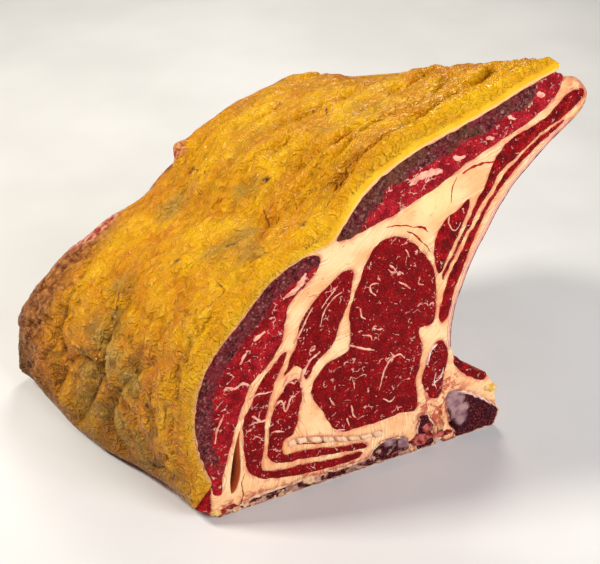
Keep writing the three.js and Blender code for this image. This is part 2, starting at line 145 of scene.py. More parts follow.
STRAP_MUSCLE = ((169, 67.5), (175, 61.7), (182.5, 55.2), (189.5, 50.1), (195, 46.5), (196, 43),
                (194, 41), (188, 43.5), (180, 49), (173, 56.5), (168, 62.5))
LIGAMENT = ((45, 38), (56, 36.5), (70, 32.5), (88, 26.5), (104, 23.5), (114, 22.5), (114, 26),
            (104, 27), (88, 30.5), (72, 36), (56, 41), (47, 42))
FOOT_MUSCLE = ((-20, 12), (-15, 8), (-11, 6), (-9.5, 15), (-9.5, 24), (-15, 18.5))
CHINE_BONE = ((165, 39), (164, 29), (167, 17), (172, 5), (173, 0), (205, 0), (208, 6),
              (208, 15), (198, 23), (188, 31), (178, 37), (171, 40))
ARCH_BONE = ((143, 29), (141.5, 20), (141.5, 8), (142.5, 0), (155.5, 0), (156, 12), (153, 24),
             (149, 29))
FEATHER_BONE = ((6, 0), (7, 2), (11, 5), (18, 7), (34, 8), (62, 8), (80, 7.5), (102, 8),
                (110, 15), (120, 18), (130, 16), (136, 10), (136.5, 0))
SPINAL_CANAL = ((158.5, 30), (158, 16), (158, -6), (164, -6), (164, 12), (162, 22), (161, 31))
SLIT = ((12, 62), (9.3, 55), (7, 45), (5, 34), (4, 24), (5, 15), (7.5, 16), (10.5, 23), (11.8, 34),
        (11.6, 45), (11.6, 54))
SLIT_DEPTH = 9.0
# Where the middle of a rib bone ends, at its sawn tip and at the spine
RIB_TIP = (255.0, 230.0)
RIB_FOOT = (165.0, 88.0)
# Spots of the seam fat, each as (x, z, half width, half height)
PURE_SPOT = (146.0, 190.0, 17.0, 17.0)
BLOODY_SPOT = (160.0, 32.0, 26.0, 30.0)
RAW_TIP = (250.0, 240.0, 14.0, 14.0)
# A distance that is beyond every mark
FAR_AWAY = 9.0

# Creases of the cap, each as (depth, width, points), a point as (distance round the cap,
# distance along the roast)
CREASES = (
    (5.0, 5.0, ((250, 16), (285, 11), (320, 10), (350, 14), (385, 30))),
    (4.6, 6.0, ((300, 128), (330, 118), (352, 116))),
    (5.4, 8.0, ((130, 107), (100, 103), (70, 100), (42, 107), (8, 122))),
    (5.0, 7.0, ((96, 46), (80, 62), (56, 77), (28, 86), (8, 74))),
    (3.6, 6.0, ((4, 58), (14, 30), (22, 8))),
    (3.0, 7.0, ((252, 178), (228, 160), (200, 150), (184, 130))),
    (2.4, 8.0, ((186, 84), (196, 60), (224, 42), (250, 34))),
    (4.0, 8.0, ((60, 150), (86, 160), (120, 164), (150, 176))),
    (4.2, 6.0, ((20, 150), (44, 146), (66, 130), (70, 112))),
    (3.6, 5.0, ((60, 78), (52, 62), (34, 52), (20, 44))),
    (3.0, 5.0, ((262, 60), (290, 44), (322, 36), (356, 44))),
    (3.0, 6.0, ((276, 96), (304, 84), (336, 78), (362, 84))),
)
# Swells of its skin, each as (height, length round the cap, length along the roast, shift)
SWELLS = ((2.0, 21.0, 34.0, 0.4), (1.3, 11.0, 19.0, 1.9), (0.7, 6.4, 9.7, 3.1))
# The nub of meat at the far end
NUB_AROUND, NUB_ALONG, NUB_HEIGHT, NUB_WIDTH, NUB_LENGTH = 277.0, 204.0, 12.0, 9.0, 6.0
# The stretch of skin that gives way to the rounded edge of the cut, and how far the far edge rounds
SQUEEZED = 14.0
FAR_ROUND = 4.0
# How far the skin stands out of its outline at the far end, by distance round the cap
FAR_SWELL = ((0, 0), (25, 4), (41, 8), (61, 7.5), (80, 6), (97, 5), (109, 3.5), (126, 2), (158, 3.5),
             (184, 3.5), (196, 2.5), (210, 0), (229, -3), (250, -8), (273, -9), (286, -4), (297, 2),
             (323, 3.5), (346, 5), (368, 4), (391, 3.5), (412, 1))
# How far its foot swells, by distance along the roast, and the shares of that out and down
FOOT_SWELL = ((0, 0), (32, 0), (46, 2), (64, 3.5), (78, 6), (94, 8), (130, 8), (152, 6), (172, 5),
              (194, 2), (210, 0))
FOOT_OUT = 0.6
FOOT_DOWN = 0.75
# How far its top sags near the cut
TOP_SAG = 2.5


def ease(low: float, high: float, value: float) -> float:
    """Eased share of the way from low to high.

    Args:
        low: Where the share is 0.
        high: Where the share is 1.
        value: The value to place between them.

    Returns:
        A share from 0 to 1.
    """
    share = min(1.0, max(0.0, (value - low) / (high - low)))
    return share * share * (3.0 - 2.0 * share)


def place(x: float, y: float, z: float) -> Vector:
    """Bends a straight point into the roast, which leans and narrows away from its near face.

    Args:
        x: Distance across the near cut face, in millimetres.
        y: Distance along the roast, in millimetres.
        z: Height on the near cut face, in millimetres.

    Returns:
        The point in the frame, in metres.
    """
    t = min(1.0, max(0.0, y / LENGTH))
    drop = FAR_DROP - FAR_DROP_PER_X * x + TIP_DROP_PER_X * max(0.0, x - TIP_DROP_FROM)
    low = (1.0 - ease(20.0, 60.0, z)) * (1.0 - ease(-10.0, 50.0, x))
    flare = FOOT_FLARE * ease(0.15, 0.7, t) * low
    across = x - t * (FAR_SHIFT + FAR_SHIFT_PER_X * x) - flare - MIDDLE_X
    return Vector((across, y - LENGTH / 2, z * (1.0 - t * drop))) * MM


def spline(points: Sequence[Point], step: float, closed: bool = True) -> Ring:
    """Evenly spaced points on a smooth line through the given ones.

    Args:
        points: The points that the line goes through.
        step: The spacing wanted.
        closed: Whether the line comes back to its start.

    Returns:
        The spaced points; a closed line doesn't repeat its first.
    """
    knots = np.array(points, float)
    if closed:
        knots = np.vstack([knots[-1], knots, knots[:2]])
    else:
        knots = np.vstack([2 * knots[0] - knots[1], knots, 2 * knots[-1] - knots[-2]])
    share = np.linspace(0.0, 1.0, 24, endpoint=False)[:, None]
    dense = []
    for a, b, c, d in zip(knots, knots[1:], knots[2:], knots[3:]):
        ab, bc, cd = (math.sqrt(max(1e-6, math.dist(p, q))) for p, q in ((a, b), (b, c), (c, d)))
        leave = (b - a) / ab - (c - a) / (ab + bc) + (c - b) / bc
        reach = (c - b) / bc - (d - b) / (bc + cd) + (d - c) / cd
        leave, reach = leave * bc, reach * bc
        cubic = 2 * b - 2 * c + leave + reach
        square = -3 * b + 3 * c - 2 * leave - reach
        dense.append(b + leave * share + square * share**2 + cubic * share**3)
    line = np.vstack([*dense, knots[-2]])
    run = np.concatenate([[0.0], np.cumsum(np.linalg.norm(np.diff(line, axis=0), axis=1))])
    count = max(6, round(run[-1] / step))
    at = np.linspace(0.0, run[-1], count + 1)[: count if closed else count + 1]
    return list(zip(np.interp(at, run, line[:, 0]).tolist(), np.interp(at, run, line[:, 1]).tolist()))


def side(line: Ring, closed: bool) -> list[Point]:
    """Unit vectors to the right of a line, one for each of its points.

    Args:
        line: The points of the line, in order.
        closed: Whether the line comes back to its start.

    Returns:
        The vectors; on an anticlockwise ring they point out.
    """
    points = np.array(line, float)
    if closed:
        along = np.roll(points, -1, axis=0) - np.roll(points, 1, axis=0)
    else:
        along = np.gradient(points, axis=0)
    along /= np.linalg.norm(along, axis=1, keepdims=True)
    return [(float(dz), float(-dx)) for dx, dz in along]


def grow(ring: Ring, distance: float) -> Ring:
    """A ring moved out by a distance.

    Args:
        ring: A closed ring, either way round.
        distance: How far to move it; below 0 moves it in.

    Returns:
        The moved ring.
    """
    points = np.array(ring)
    area = np.sum(points[:, 0] * np.roll(points[:, 1], -1) - np.roll(points[:, 0], -1) * points[:, 1])
    turn = math.copysign(distance, area)
    return [(x + nx * turn, z + nz * turn) for (x, z), (nx, nz) in zip(ring, side(ring, True))]


def tree_of(points: Iterable[Point]) -> kdtree.KDTree:
    """A search tree over points of the cut face.

    Args:
        points: The points, as (x, z).

    Returns:
        The balanced tree.
    """
    listed = list(points)
    tree = kdtree.KDTree(len(listed))
    for i, (x, z) in enumerate(listed):
        tree.insert((x, 0.0, z), i)
    tree.balance()
    return tree


def near(tree: kdtree.KDTree, x: float, z: float) -> float:
    """Distance on the cut face from a point to the nearest point of a tree."""
    return tree.find((x, 0.0, z))[2]


def wrinkle(x: float, y: float, z: float, size: float) -> float:
    """Smooth noise at a place, from -1 to 1, whose lumps are about the given size."""
    return noise.noise(Vector((x, y, z)) / size)


def crumple(x: float, y: float, z: float, size: float) -> float:
    """Rounded lumps with sharp creases between them: from -0.45 in a crease to 0.55 on a lump."""
    return min(1.0, abs(wrinkle(x, y, z, size)) * 2.2) - 0.45


def settle(distance: float, reach: float) -> float:
    """0 at an edge, rising to 1 a few reaches away from it."""
    return 1.0 - math.exp(-distance / reach)


def far_end(y: float) -> float:
    """1 at the far cut face, fading to 0 a few millimetres before it."""
    return ease(LENGTH - 4.0, LENGTH - 0.5, y)


def squarish(share: float) -> float:
    """A sine or cosine drawn out, so that the oval it makes has fuller corners."""
    return math.copysign(abs(share) ** 0.7, share)


def away_from(spot: tuple[float, float, float, float], x: float, z: float) -> float:
    """How far a point is from a spot's middle: 1 on the oval round it."""
    return math.hypot((x - spot[0]) / spot[2], (z - spot[1]) / spot[3])


def off_rib(y: float) -> float:
    """Distance along the roast from the middle of the nearest rib."""
    return abs((y - RIB_FIRST + RIB_PITCH / 2) % RIB_PITCH - RIB_PITCH / 2)


def look_up(table: Sequence[Point], value: float) -> float:
    """What a table of points says at a value between them."""
    return float(np.interp(value, *zip(*table)))


def nearest(spots: Sequence[tuple[float, ...]], x: float, z: float) -> float:
    """How many of its own radii away the nearest spot is, each as (x, z, radius, ...)."""
    return min((math.hypot(x - spot[0], z - spot[1]) / spot[2] for spot in spots), default=FAR_AWAY)


def linear(code: str) -> tuple[float, float, float, float]:
    """An sRGB hex colour, such as "#8c1626", as the linear colour that a socket takes."""
    parts = [int(code[i : i + 2], 16) / 255 for i in (1, 3, 5)]
    red, green, blue = (c / 12.92 if c <= 0.04045 else ((c + 0.055) / 1.055) ** 2.4 for c in parts)
    return red, green, blue, 1.0


def per_mm(size: float) -> float:
    """The scale of a pattern whose lumps or cells are a size across, in millimetres."""
    return 1.0 / (size * MM)


class Node(Enum):
    """A kind of shader node: its type, settings, inputs in the order given, and output."""

    PLACE = ("TexCoord", {}, (), "Object")
    STORED = ("Attribute", {}, (), "Fac")
    NOISE = ("TexNoise", {}, ("Vector", "Scale", "Detail", "Distortion"), "Fac")
    DRIFT = ("TexNoise", {}, ("Vector", "Scale", "Detail"), "Color")
    LAYERS = ("TexNoise", {"noise_dimensions": "1D"}, ("W", "Scale", "Detail"), "Fac")
    CELLS = ("TexVoronoi", {}, ("Vector", "Scale"), "Distance")
    WALLS = ("TexVoronoi", {"feature": "DISTANCE_TO_EDGE"}, ("Vector", "Scale"), "Distance")
    SHARE = ("MapRange", {"interpolation_type": "SMOOTHSTEP"}, (0, 1, 2, 3, 4), 0)
    MIX = ("Mix", {"data_type": "RGBA"}, (0, 6, 7), 2)
    PLUS = ("Math", {"operation": "ADD"}, (0, 1), 0)
    LESS = ("Math", {"operation": "SUBTRACT"}, (0, 1), 0)
    TIMES = ("Math", {"operation": "MULTIPLY"}, (0, 1), 0)
    MOST = ("Math", {"operation": "MAXIMUM"}, (0, 1), 0)
    SIZE = ("Math", {"operation": "ABSOLUTE"}, (0,), 0)
    STRETCH = ("VectorMath", {"operation": "MULTIPLY"}, (0, 1), 0)
    MOVE = ("VectorMath", {"operation": "ADD"}, (0, 1), 0)
    BUMP = ("Bump", {}, ("Strength", "Distance", "Height"), 0)
    SURFACE = ("BsdfPrincipled", {}, ("Base Color", "Roughness", "Normal", "Specular IOR Level",
                                      "Subsurface Weight", "Subsurface Radius", "Subsurface Scale"), 0)
    OUTPUT = ("OutputMaterial", {}, ("Surface",), None)


class Shader:
    """One material's node tree."""

    def __init__(self, name: str) -> None:
        """Starts an empty material of that name, with a place on the object to read."""
        self.material = bpy.data.materials.new(name)
        self.material.use_nodes = True
        self.tree = self.material.node_tree
        self.tree.nodes.clear()
        self.at = self.add(Node.PLACE)

    def add(self, node: Node, *values: object, **settings: object) -> bpy.types.NodeSocket | None:
        """Adds a node with its settings and links.

        Args:
            node: Its kind.
            *values: What its inputs take, in order: a socket, a number, a hex colour, or the
                name of a number stored on the mesh.
            **settings: Further settings.

        Returns:
            Its output.
        """
        kind, fixed, inputs, output = node.value
        made = self.tree.nodes.new(f"ShaderNode{kind}")
        for key, value in {**fixed, **settings}.items():
            setattr(made, key, value)
        for key, value in zip(inputs, values):
            if isinstance(value, str):
                value = linear(value) if value[0] == "#" else self.add(Node.STORED, attribute_name=value)
            if isinstance(value, bpy.types.NodeSocket):
                self.tree.links.new(value, made.inputs[key])
            else:
                made.inputs[key].default_value = value
        return None if output is None else made.outputs[output]

    def mottle(self, size: float, detail: float, *share: float, warp: float = 0.0,
               on: object = None) -> bpy.types.NodeSocket:
        """Soft patches, as a share from 0 to 1.

        Args:
            size: How far apart they are, in millimetres.
            detail: How many finer layers lie on them.
            *share: Where the share starts and ends, and then what it is there, if not 0 and 1.
            warp: How far they are pulled out of shape.
            on: The place that they are read at, if it isn't the plain one.

        Returns:
            The share.
        """
        return self.add(Node.SHARE, self.add(Node.NOISE, on or self.at, per_mm(size), detail, warp), *share)

    def coats(self, base: object, *coats: tuple[object, object]) -> bpy.types.NodeSocket:
        """Lays tones over a colour, one after another.

        Args:
            base: The colour below.
            *coats: The tones, each as (how far it covers, colour).

        Returns:
            The colour that shows.
        """
        for cover, tone in coats:
            base = self.add(Node.MIX, cover, base, tone)
        return base

    def close(self, colour: object, roughness: object, relief: object, depth: float,
              gloss: float = 0.2, glow: float = 0.0) -> bpy.types.Material:
        """Closes the material.

        Args:
            colour: Its base colour.
            roughness: Its roughness.
            relief: Its fine relief, from 0 to 1.
            depth: How deep that relief is, in millimetres.
            gloss: How strongly it mirrors its surroundings; damp tissue scatters more than it mirrors.
            glow: How much light goes a millimetre or two into it and comes out again.

        Returns:
            The material.
        """
        bump = self.add(Node.BUMP, 1.0, depth * MM, relief)
        red_light_goes_deepest = (1.0, 0.35, 0.2)
        self.add(Node.OUTPUT, self.add(Node.SURFACE, colour, roughness, bump, gloss, glow,
                                       red_light_goes_deepest, 2.0 * MM))
        return self.material


@dataclass(frozen=True)
class LeanMeat:
    """Raw beef cut across the grain: moist, deep crimson, in bundles about 2 mm across.

    Cream marbling follows the walls between bundles, as short bent flecks and specks. The
    bark is meat that dried in ageing: brown-purple and duller, drawn into knobs, with a painted
    highlight on each knob's top and painted shade in the gaps between them.
    """

    name: str
    deep: str = "#7c060a"
    fresh: str = "#9e0a10"
    marbling: str = "#eaa692"
    bark: str = "#5a2626"
    bark_highlight: str = "#b27a70"
    tan: float = 0.6
    flecks: float = 1.0

    def build(self) -> bpy.types.Material:
        """Makes the material."""
        s = Shader(self.name)
        add, mottle, at = s.add, s.mottle, s.at
        drift = add(Node.MOVE, add(Node.DRIFT, at, per_mm(5.0), 2.0), (-0.5, -0.5, -0.5))
        bent = add(Node.MOVE, at, add(Node.STRETCH, drift, (0.005, 0.005, 0.005)))
        bundle = add(Node.SHARE, add(Node.WALLS, bent, per_mm(2.1)), 0.0, 0.2)
        grain = add(Node.NOISE, at, per_mm(1.3), 2.0)
        red = s.coats(self.deep, (mottle(6.0, 5.0, 0.34, 0.66), self.fresh),
                      (add(Node.SHARE, bundle, 0.0, 1.0, 0.42, 0.0), "#2e0205"),
                      (add(Node.SHARE, grain, 0.55, 0.8, 0.0, 0.28), "#b41c22"))
        more = 0.045 * (self.flecks - 1.0)
        fat = add(Node.TIMES, add(Node.SHARE, add(Node.CELLS, bent, per_mm(1.9)), 0.12, 0.2, 1.0, 0.0),
                  mottle(6.0, 2.0, 0.55, 0.64))
        for size, wall, fade, patch, low, on in ((3.3, 0.035, 0.08, 2.6, 0.68, bent),
                                                 (7.0, 0.022, 0.05, 4.5, 0.6, at)):
            line = add(Node.SHARE, add(Node.WALLS, bent, per_mm(size)), wall, fade, 1.0, 0.0)
            fleck = add(Node.TIMES, line, mottle(patch, 1.0, low - more, low + 0.04 - more, on=on))
            fat = add(Node.MOST, fleck, fat)
        fat = add(Node.TIMES, fat, add(Node.SHARE, grain, 0.3, 0.5, 0.7, 1.0))
        torn = add(Node.TIMES, add(Node.NOISE, at, per_mm(4.0), 4.0), 0.9)
        age = add(Node.SHARE, add(Node.PLUS, "bark", torn), 0.7, 1.2)
        knob = add(Node.SHARE, add(Node.CELLS, bent, per_mm(2.6)), 0.1, 0.7, 1.0, 0.0)
        # Painted shade: the gaps between the bark's knobs are darkened in colour.
        gap = add(Node.SIZE, add(Node.LESS, add(Node.NOISE, at, per_mm(6.5), 4.0, 0.6), 0.5))
        gap = add(Node.SHARE, gap, 0.004, 0.03, 0.8, 0.0)
        # Painted highlight: the tops of the bark's knobs are lightened in colour.
        lit = add(Node.TIMES, knob, add(Node.SHARE, grain, 0.3, 0.65))
        dried = s.coats(self.bark, (lit, self.bark_highlight),
                        (mottle(11.0, 3.0, 0.42, 0.6, 0.0, 0.6), "#80222e"),
                        (mottle(16.0, 2.0, 0.5, 0.6, 0.0, self.tan), "#68462e"), (gap, "#1c0607"))
        colour = s.coats(red, (fat, self.marbling), (add(Node.TIMES, age, 0.92), dried),
                         (add(Node.SHARE, "edge", 0.1, 0.8, 0.35, 0.0), "#b4483f"))
        damp = add(Node.PLUS, add(Node.SHARE, grain, 0.3, 0.7, 0.2, 0.38), add(Node.TIMES, age, 0.14))
        relief = add(Node.TIMES, add(Node.NOISE, at, per_mm(5.0), 4.0), 1.6)
        shrunk = add(Node.LESS, add(Node.TIMES, knob, 1.3), add(Node.TIMES, gap, 0.8))
        for share, height in ((bundle, 0.5), (fat, 0.35), (shrunk, age)):
            relief = add(Node.PLUS, relief, add(Node.TIMES, share, height))
        return s.close(colour, damp, relief, 0.8, 0.07, 0.03)


@dataclass(frozen=True)
class AgedFatSkin:
    """Aged yellow fat, dried on the outside into a crumpled skin with an oily gloss.

    Its micro folds, 2 to 4 mm apart, catch many small highlights; their creases are darkened
    with painted shade and their tops lightened with a painted highlight. Stored numbers say
    where it is olive or brown, where a vein shows through, where the red below is bare, where
    the knife left a smooth golden face, and where painted shade lies in its hollows, under its
    curl and at the foot of its far end.
    """

    name: str = "aged_yellow_fat_skin"
    deep: str = "#ca7a04"
    bright: str = "#ecb208"
    cut: str = "#e6aa08"
    olive: str = "#94681a"
    crust: str = "#6c3414"
    crust_light: str = "#b87638"

    def build(self) -> bpy.types.Material:
        """Makes the material."""
        s = Shader(self.name)
        add, mottle, at = s.add, s.mottle, s.at
        patch = mottle(14.0, 3.0, 0.3, 0.7, warp=0.4)
        tone = add(Node.TIMES, add(Node.PLUS, mottle(40.0, 3.0, 0.35, 0.65), patch), 0.5)
        fold, fine = (add(Node.SIZE, add(Node.LESS, add(Node.NOISE, at, per_mm(size), 1.0, warp), 0.5))
                      for size, warp in ((5.5, 0.8), (2.6, 0.6)))
        # Painted shade: the creases between the folds are darkened in colour.
        crease = add(Node.MOST, add(Node.SHARE, fold, 0.0, 0.022, 0.5, 0.0),
                     add(Node.SHARE, fine, 0.0, 0.022, 0.3, 0.0))
        wander = add(Node.TIMES, add(Node.NOISE, at, per_mm(3.0), 3.0), 1.6)
        pale = s.coats(self.cut, (mottle(9.0, 2.0, 0.4, 0.65), "#e6b81c"),
                       (add(Node.SHARE, "bark_line", 0.3, 3.2, 0.85, 0.0), "#eac488"))
        colour = s.coats(
            self.deep, (tone, self.bright),
            (mottle(26.0, 3.0, 0.5, 0.7, 0.0, 0.5, warp=1.0), "#c07208"),
            (add(Node.TIMES, "warm", mottle(22.0, 3.0, 0.35, 0.6, 0.35, 0.9)), "#b86c18"),
            # Painted highlight: the tops of the folds are lightened towards a pale yellow.
            (add(Node.SHARE, fold, 0.08, 0.24, 0.0, 0.4), "#ecb428"),
            (add(Node.TIMES, "olive", mottle(14.0, 4.0, 0.3, 0.6, 0.45, 1.0)),
             add(Node.MIX, patch, self.olive, "#ba923e")),
            # Painted shade in the creases.
            (crease, "#a06208"),
            ("crust", add(Node.MIX, mottle(5.0, 4.0, 0.35, 0.65), self.crust, self.crust_light)),
            ("bare", add(Node.MIX, mottle(3.5, 3.0, 0.4, 0.6), "#a8352c", "#e3a07c")),
            (add(Node.TIMES, "stain", mottle(3.0, 3.0, 0.35, 0.6, 0.4, 1.0)), "#3a1a1a"),
            (add(Node.SHARE, add(Node.PLUS, "vein", wander), 1.0, 1.75, 0.85, 0.0), "#54240e"),
            # Painted shade, a darker brown, in the skin's hollows and creases, under its curl and at its far
            # foot.
            ("groove", "#5c3a0c"), ("cut", pale))
        relief = add(Node.PLUS, add(Node.SHARE, fold, 0.0, 0.2),
                     add(Node.TIMES, add(Node.SHARE, fine, 0.0, 0.2), 0.5))
        relief = add(Node.TIMES, relief, add(Node.SHARE, "cut", 0.3, 1.0, 1.0, 0.15))
        return s.close(colour, mottle(5.0, 3.0, 0.3, 0.7, 0.1, 0.27), relief, 1.2, 0.17, 0.03)


@dataclass(frozen=True)
class SeamFatTissue:
    """Cream fat and sinew between muscles, cut clean: smooth, streaked along the seam.

    Blood tints it pink beside the muscles. Its chest side is a thin membrane, pale where a
    rib lies under it and dark red where meat does; its sawn foot is crumbly.
    """

    name: str = "cream_seam_fat"
    cream: str = "#efae74"
    light: str = "#f8cf98"
    pink: str = "#d67a5c"

    def build(self) -> bpy.types.Material:
        """Makes the material."""
        s = Shader(self.name)
        add, mottle, at = s.add, s.mottle, s.at
        run = add(Node.PLUS, "bark_line", add(Node.TIMES, add(Node.NOISE, at, per_mm(18.0), 2.0), 11.0))
        streak = add(Node.LAYERS, run, 1.0, 3.0)
        narrow = add(Node.SHARE, "edge", 2.0, 6.0, 1.0, 0.3)
        chest = add(Node.PLUS, "chest_line", add(Node.TIMES, add(Node.NOISE, at, per_mm(5.0), 3.0), -2.6))
        strand = add(Node.SHARE, add(Node.LAYERS, add(Node.TIMES, chest, 0.8), 1.0, 2.0), 0.5, 0.62, 0.0, 0.7)
        strand = add(Node.TIMES, strand, add(Node.SHARE, chest, 3.0, 6.0, 1.0, 0.0))
        long = add(Node.STRETCH, at, (1.0, 0.35, 1.0))
        colour = s.coats(
            self.cream, (mottle(26.0, 3.0, 0.35, 0.65), self.light),
            (add(Node.TIMES, add(Node.SHARE, streak, 0.5, 0.68, 0.0, 0.55), narrow), "#c8744e"),
            (add(Node.TIMES, add(Node.SHARE, streak, 0.28, 0.45, 0.6, 0.0), narrow), "#fde2bc"),
            (add(Node.TIMES, "pure", 0.7), "#fbd692"),
            (add(Node.TIMES, add(Node.SHARE, "edge", 0.2, 3.4, 0.8, 0.0), mottle(8.0, 3.0, 0.38, 0.62)),
             self.pink),
            (mottle(4.5, 4.0, 0.62, 0.72, 0.0, 0.5, warp=1.5), "#c4543c"),
            (add(Node.TIMES, "raw", mottle(5.0, 5.0, 0.44, 0.58, 0.0, 0.85, warp=1.0)), "#b03a34"),
            (add(Node.TIMES, add(Node.SHARE, chest, 1.8, 3.0, 0.8, 0.0), "flat"), "#f0cbb4"),
            (add(Node.TIMES, strand, "flat"), "#b4493e"),
            (add(Node.TIMES, add(Node.SHARE, chest, -0.6, 0.0, 1.0, 0.0), "flat"),
             add(Node.MIX, mottle(4.0, 3.0, 0.4, 0.6), "#58171a", "#a5523c")),
            ("chest_face", s.coats("#701618", (mottle(5.0, 4.0, 0.42, 0.62, on=long), "#b5604e"),
                                   ("over_rib", "#e0aa88"))),
            ("sawn", add(Node.MIX, mottle(3.6, 4.0, 0.42, 0.6), "#e6bb86", "#a03c34")),
            # The slit's walls are a brownish red, with painted shade that darkens them the deeper they go.
            (add(Node.SHARE, "slit", 0.0, 0.15),
             add(Node.MIX, add(Node.SHARE, "slit", 0.2, 1.0), "#a8461a", "#4a1406")),
            (add(Node.TIMES, "far", 0.65), add(Node.MIX, mottle(4.0, 3.0, 0.4, 0.6), "#8c3a28", "#b87c4c")))
        rough = add(Node.TIMES, add(Node.NOISE, at, per_mm(2.0), 3.0), "sawn")
        relief = add(Node.PLUS, add(Node.TIMES, streak, 0.15), add(Node.NOISE, at, per_mm(4.5), 4.0))
        relief = add(Node.PLUS, relief, add(Node.TIMES, rough, 2.5))
        return s.close(colour, mottle(6.0, 3.0, 0.3, 0.7, 0.34, 0.52), relief, 0.7, 0.12, 0.08)


@dataclass(frozen=True)
class SawnBone:
    """Bone as a saw leaves it: dark red marrow sponge in a pale rim, lilac gristle beside it."""

    name: str = "sawn_marrow_bone"
    rim_mm: float = 1.3
    pale: float = 0.0

    def build(self) -> bpy.types.Material:
        """Makes the material."""
        s = Shader(self.name)
        add, mottle, at = s.add, s.mottle, s.at
        pores = add(Node.SHARE, add(Node.CELLS, at, per_mm(1.5)), 0.15, 0.6)
        sponge = s.coats("#823034", (pores, "#34080c"),
                         (mottle(6.0, 4.0, 0.46, 0.6, 0.0, self.pale), "#d3a488"),
                         (mottle(9.0, 3.0, 0.45, 0.65, 0.0, 0.6), "#301020"))
        skin = s.coats("#e6bd98", (mottle(6.0, 4.0, 0.4, 0.62), "#c9836a"),
                       (mottle(3.0, 3.0, 0.52, 0.66, 0.0, 0.75), "#8e2523"))
        wavy = add(Node.PLUS, "edge", add(Node.TIMES, add(Node.NOISE, at, per_mm(5.0), 3.0), 2.2))
        inside = add(Node.TIMES, add(Node.SHARE, wavy, self.rim_mm + 0.8, self.rim_mm + 1.5), "flat")
        lilac = add(Node.MIX, mottle(7.0, 3.0, 0.35, 0.65), "#7d585c", "#aa8684")
        # Painted shade: the hollows of the sawn end are darkened in colour.
        colour = s.coats(skin, (inside, sponge), ("gristle", lilac), ("pit", "#2a0c0a"))
        relief = add(Node.PLUS, add(Node.TIMES, pores, -0.6), add(Node.NOISE, at, per_mm(2.2), 4.0))
        relief = add(Node.TIMES, relief, add(Node.SHARE, "gristle", 0.0, 1.0, 1.0, 0.2))
        return s.close(colour, add(Node.SHARE, pores, 0.0, 1.0, 0.32, 0.5), relief, 0.8, 0.06, 0.03)


@dataclass(frozen=True)
class RibBoneSkin:
    """Rib bone under a thin dried membrane: ivory and pink with red streaks along it."""

    name: str = "rib_bone_under_membrane"

    def build(self) -> bpy.types.Material:
        """Makes the material."""
        s = Shader(self.name)
        streaks = s.add(Node.NOISE, s.add(Node.STRETCH, s.at, (1.0, 1.0, 0.3)), per_mm(3.5), 4.0)
        colour = s.coats("#d6a284", (s.mottle(14.0, 4.0, 0.35, 0.65), "#ebcfae"),
                         (s.add(Node.SHARE, streaks, 0.52, 0.68, 0.0, 0.65), "#a03c32"))
        relief = s.add(Node.TIMES, s.add(Node.NOISE, s.at, per_mm(2.0), 3.0), 0.5)
        relief = s.add(Node.PLUS, streaks, relief)
        return s.close(colour, s.mottle(5.0, 2.0, 0.3, 0.7, 0.32, 0.48), relief, 0.5, 0.2, 0.05)


@dataclass(frozen=True)
class Tissue:
    """A thin soft tissue: sinew, a fat branch or dried blood, two tones mottled together."""

    name: str
    tone: str
    tint: str

    def build(self) -> bpy.types.Material:
        """Makes the material."""
        s = Shader(self.name)
        # Painted shade in the gaps between a sinew's segments.
        colour = s.coats(self.tone, (s.mottle(4.0, 3.0, 0.4, 0.66), self.tint), ("pit", "#9a5a40"))
        relief = s.add(Node.NOISE, s.at, per_mm(1.8), 3.0)
        return s.close(colour, s.mottle(3.0, 2.0, 0.3, 0.7, 0.3, 0.45), relief, 0.5, 0.12, 0.06)


class Finish(Enum):
    """The finishes of the roast."""

    EYE = LeanMeat("raw_beef_eye")
    CAP = LeanMeat("raw_beef_cap", flecks=1.5)
    RIB = LeanMeat("raw_beef_rib", deep="#6c0308", fresh="#b20a10", flecks=0.7)
    AGED = LeanMeat("dry_aged_blade", deep="#840a12", fresh="#c01a24", bark="#5c2022", bark_highlight="#b87470",
                    tan=0.15, flecks=1.3)
    AGED_BACK = LeanMeat("dry_aged_back", deep="#90101a", fresh="#c8222e", flecks=1.1)
    CAP_FAT = AgedFatSkin()
    SEAM_FAT = SeamFatTissue()
    SPINE = SawnBone()
    FEATHER = SawnBone("sawn_spine_edge", pale=0.8)
    RIB_BONE = RibBoneSkin()
    SINEW = Tissue("pale_sinew", "#e8c49c", "#d89e78")
    KNOB = Tissue("raw_connective_tissue", "#7c1416", "#c4685c")
    YELLOW = Tissue("soft_yellow_fat", "#dba43c", "#e8c684")
    BRANCH = Tissue("marbling_fat", "#efb396", "#dc8a72")
    WEB = Tissue("silver_skin", "#e9d2ca", "#d8978c")
    BLOOD = Tissue("blood_line", "#b01c1a", "#86140f")
    CRACK = Tissue("dried_crack", "#5e2614", "#8e3c20")
    CRUMB = Tissue("bone_crumb", "#e2bd92", "#c48a66")

    def material(self) -> bpy.types.Material:
        """The finish's material, made when it is first asked for."""
        found = bpy.data.materials.get(self.value.name)
        return found or self.value.build()


def mesh_of(bm: bmesh.types.BMesh, name: str) -> bpy.types.Mesh:
    """Turns what was modelled into a mesh of that name, and frees it."""
    mesh = bpy.data.meshes.new(name)
    bm.to_mesh(mesh)
    bm.free()
    return mesh


def to_scene(name: str, data: bpy.types.ID) -> bpy.types.Object:
    """Adds an object of that name to the scene."""
    made = bpy.data.objects.new(name, data)
    bpy.context.scene.collection.objects.link(made)
    return made


def joined(solids: Iterable[bmesh.types.BMesh]) -> bmesh.types.BMesh:
    """Puts several solids into one, and frees them."""
    whole, part = bmesh.new(), bpy.data.meshes.new("part")
    for solid in solids:
        solid.to_mesh(part)
        solid.free()
        whole.from_mesh(part)
    bpy.data.meshes.remove(part)
    return whole


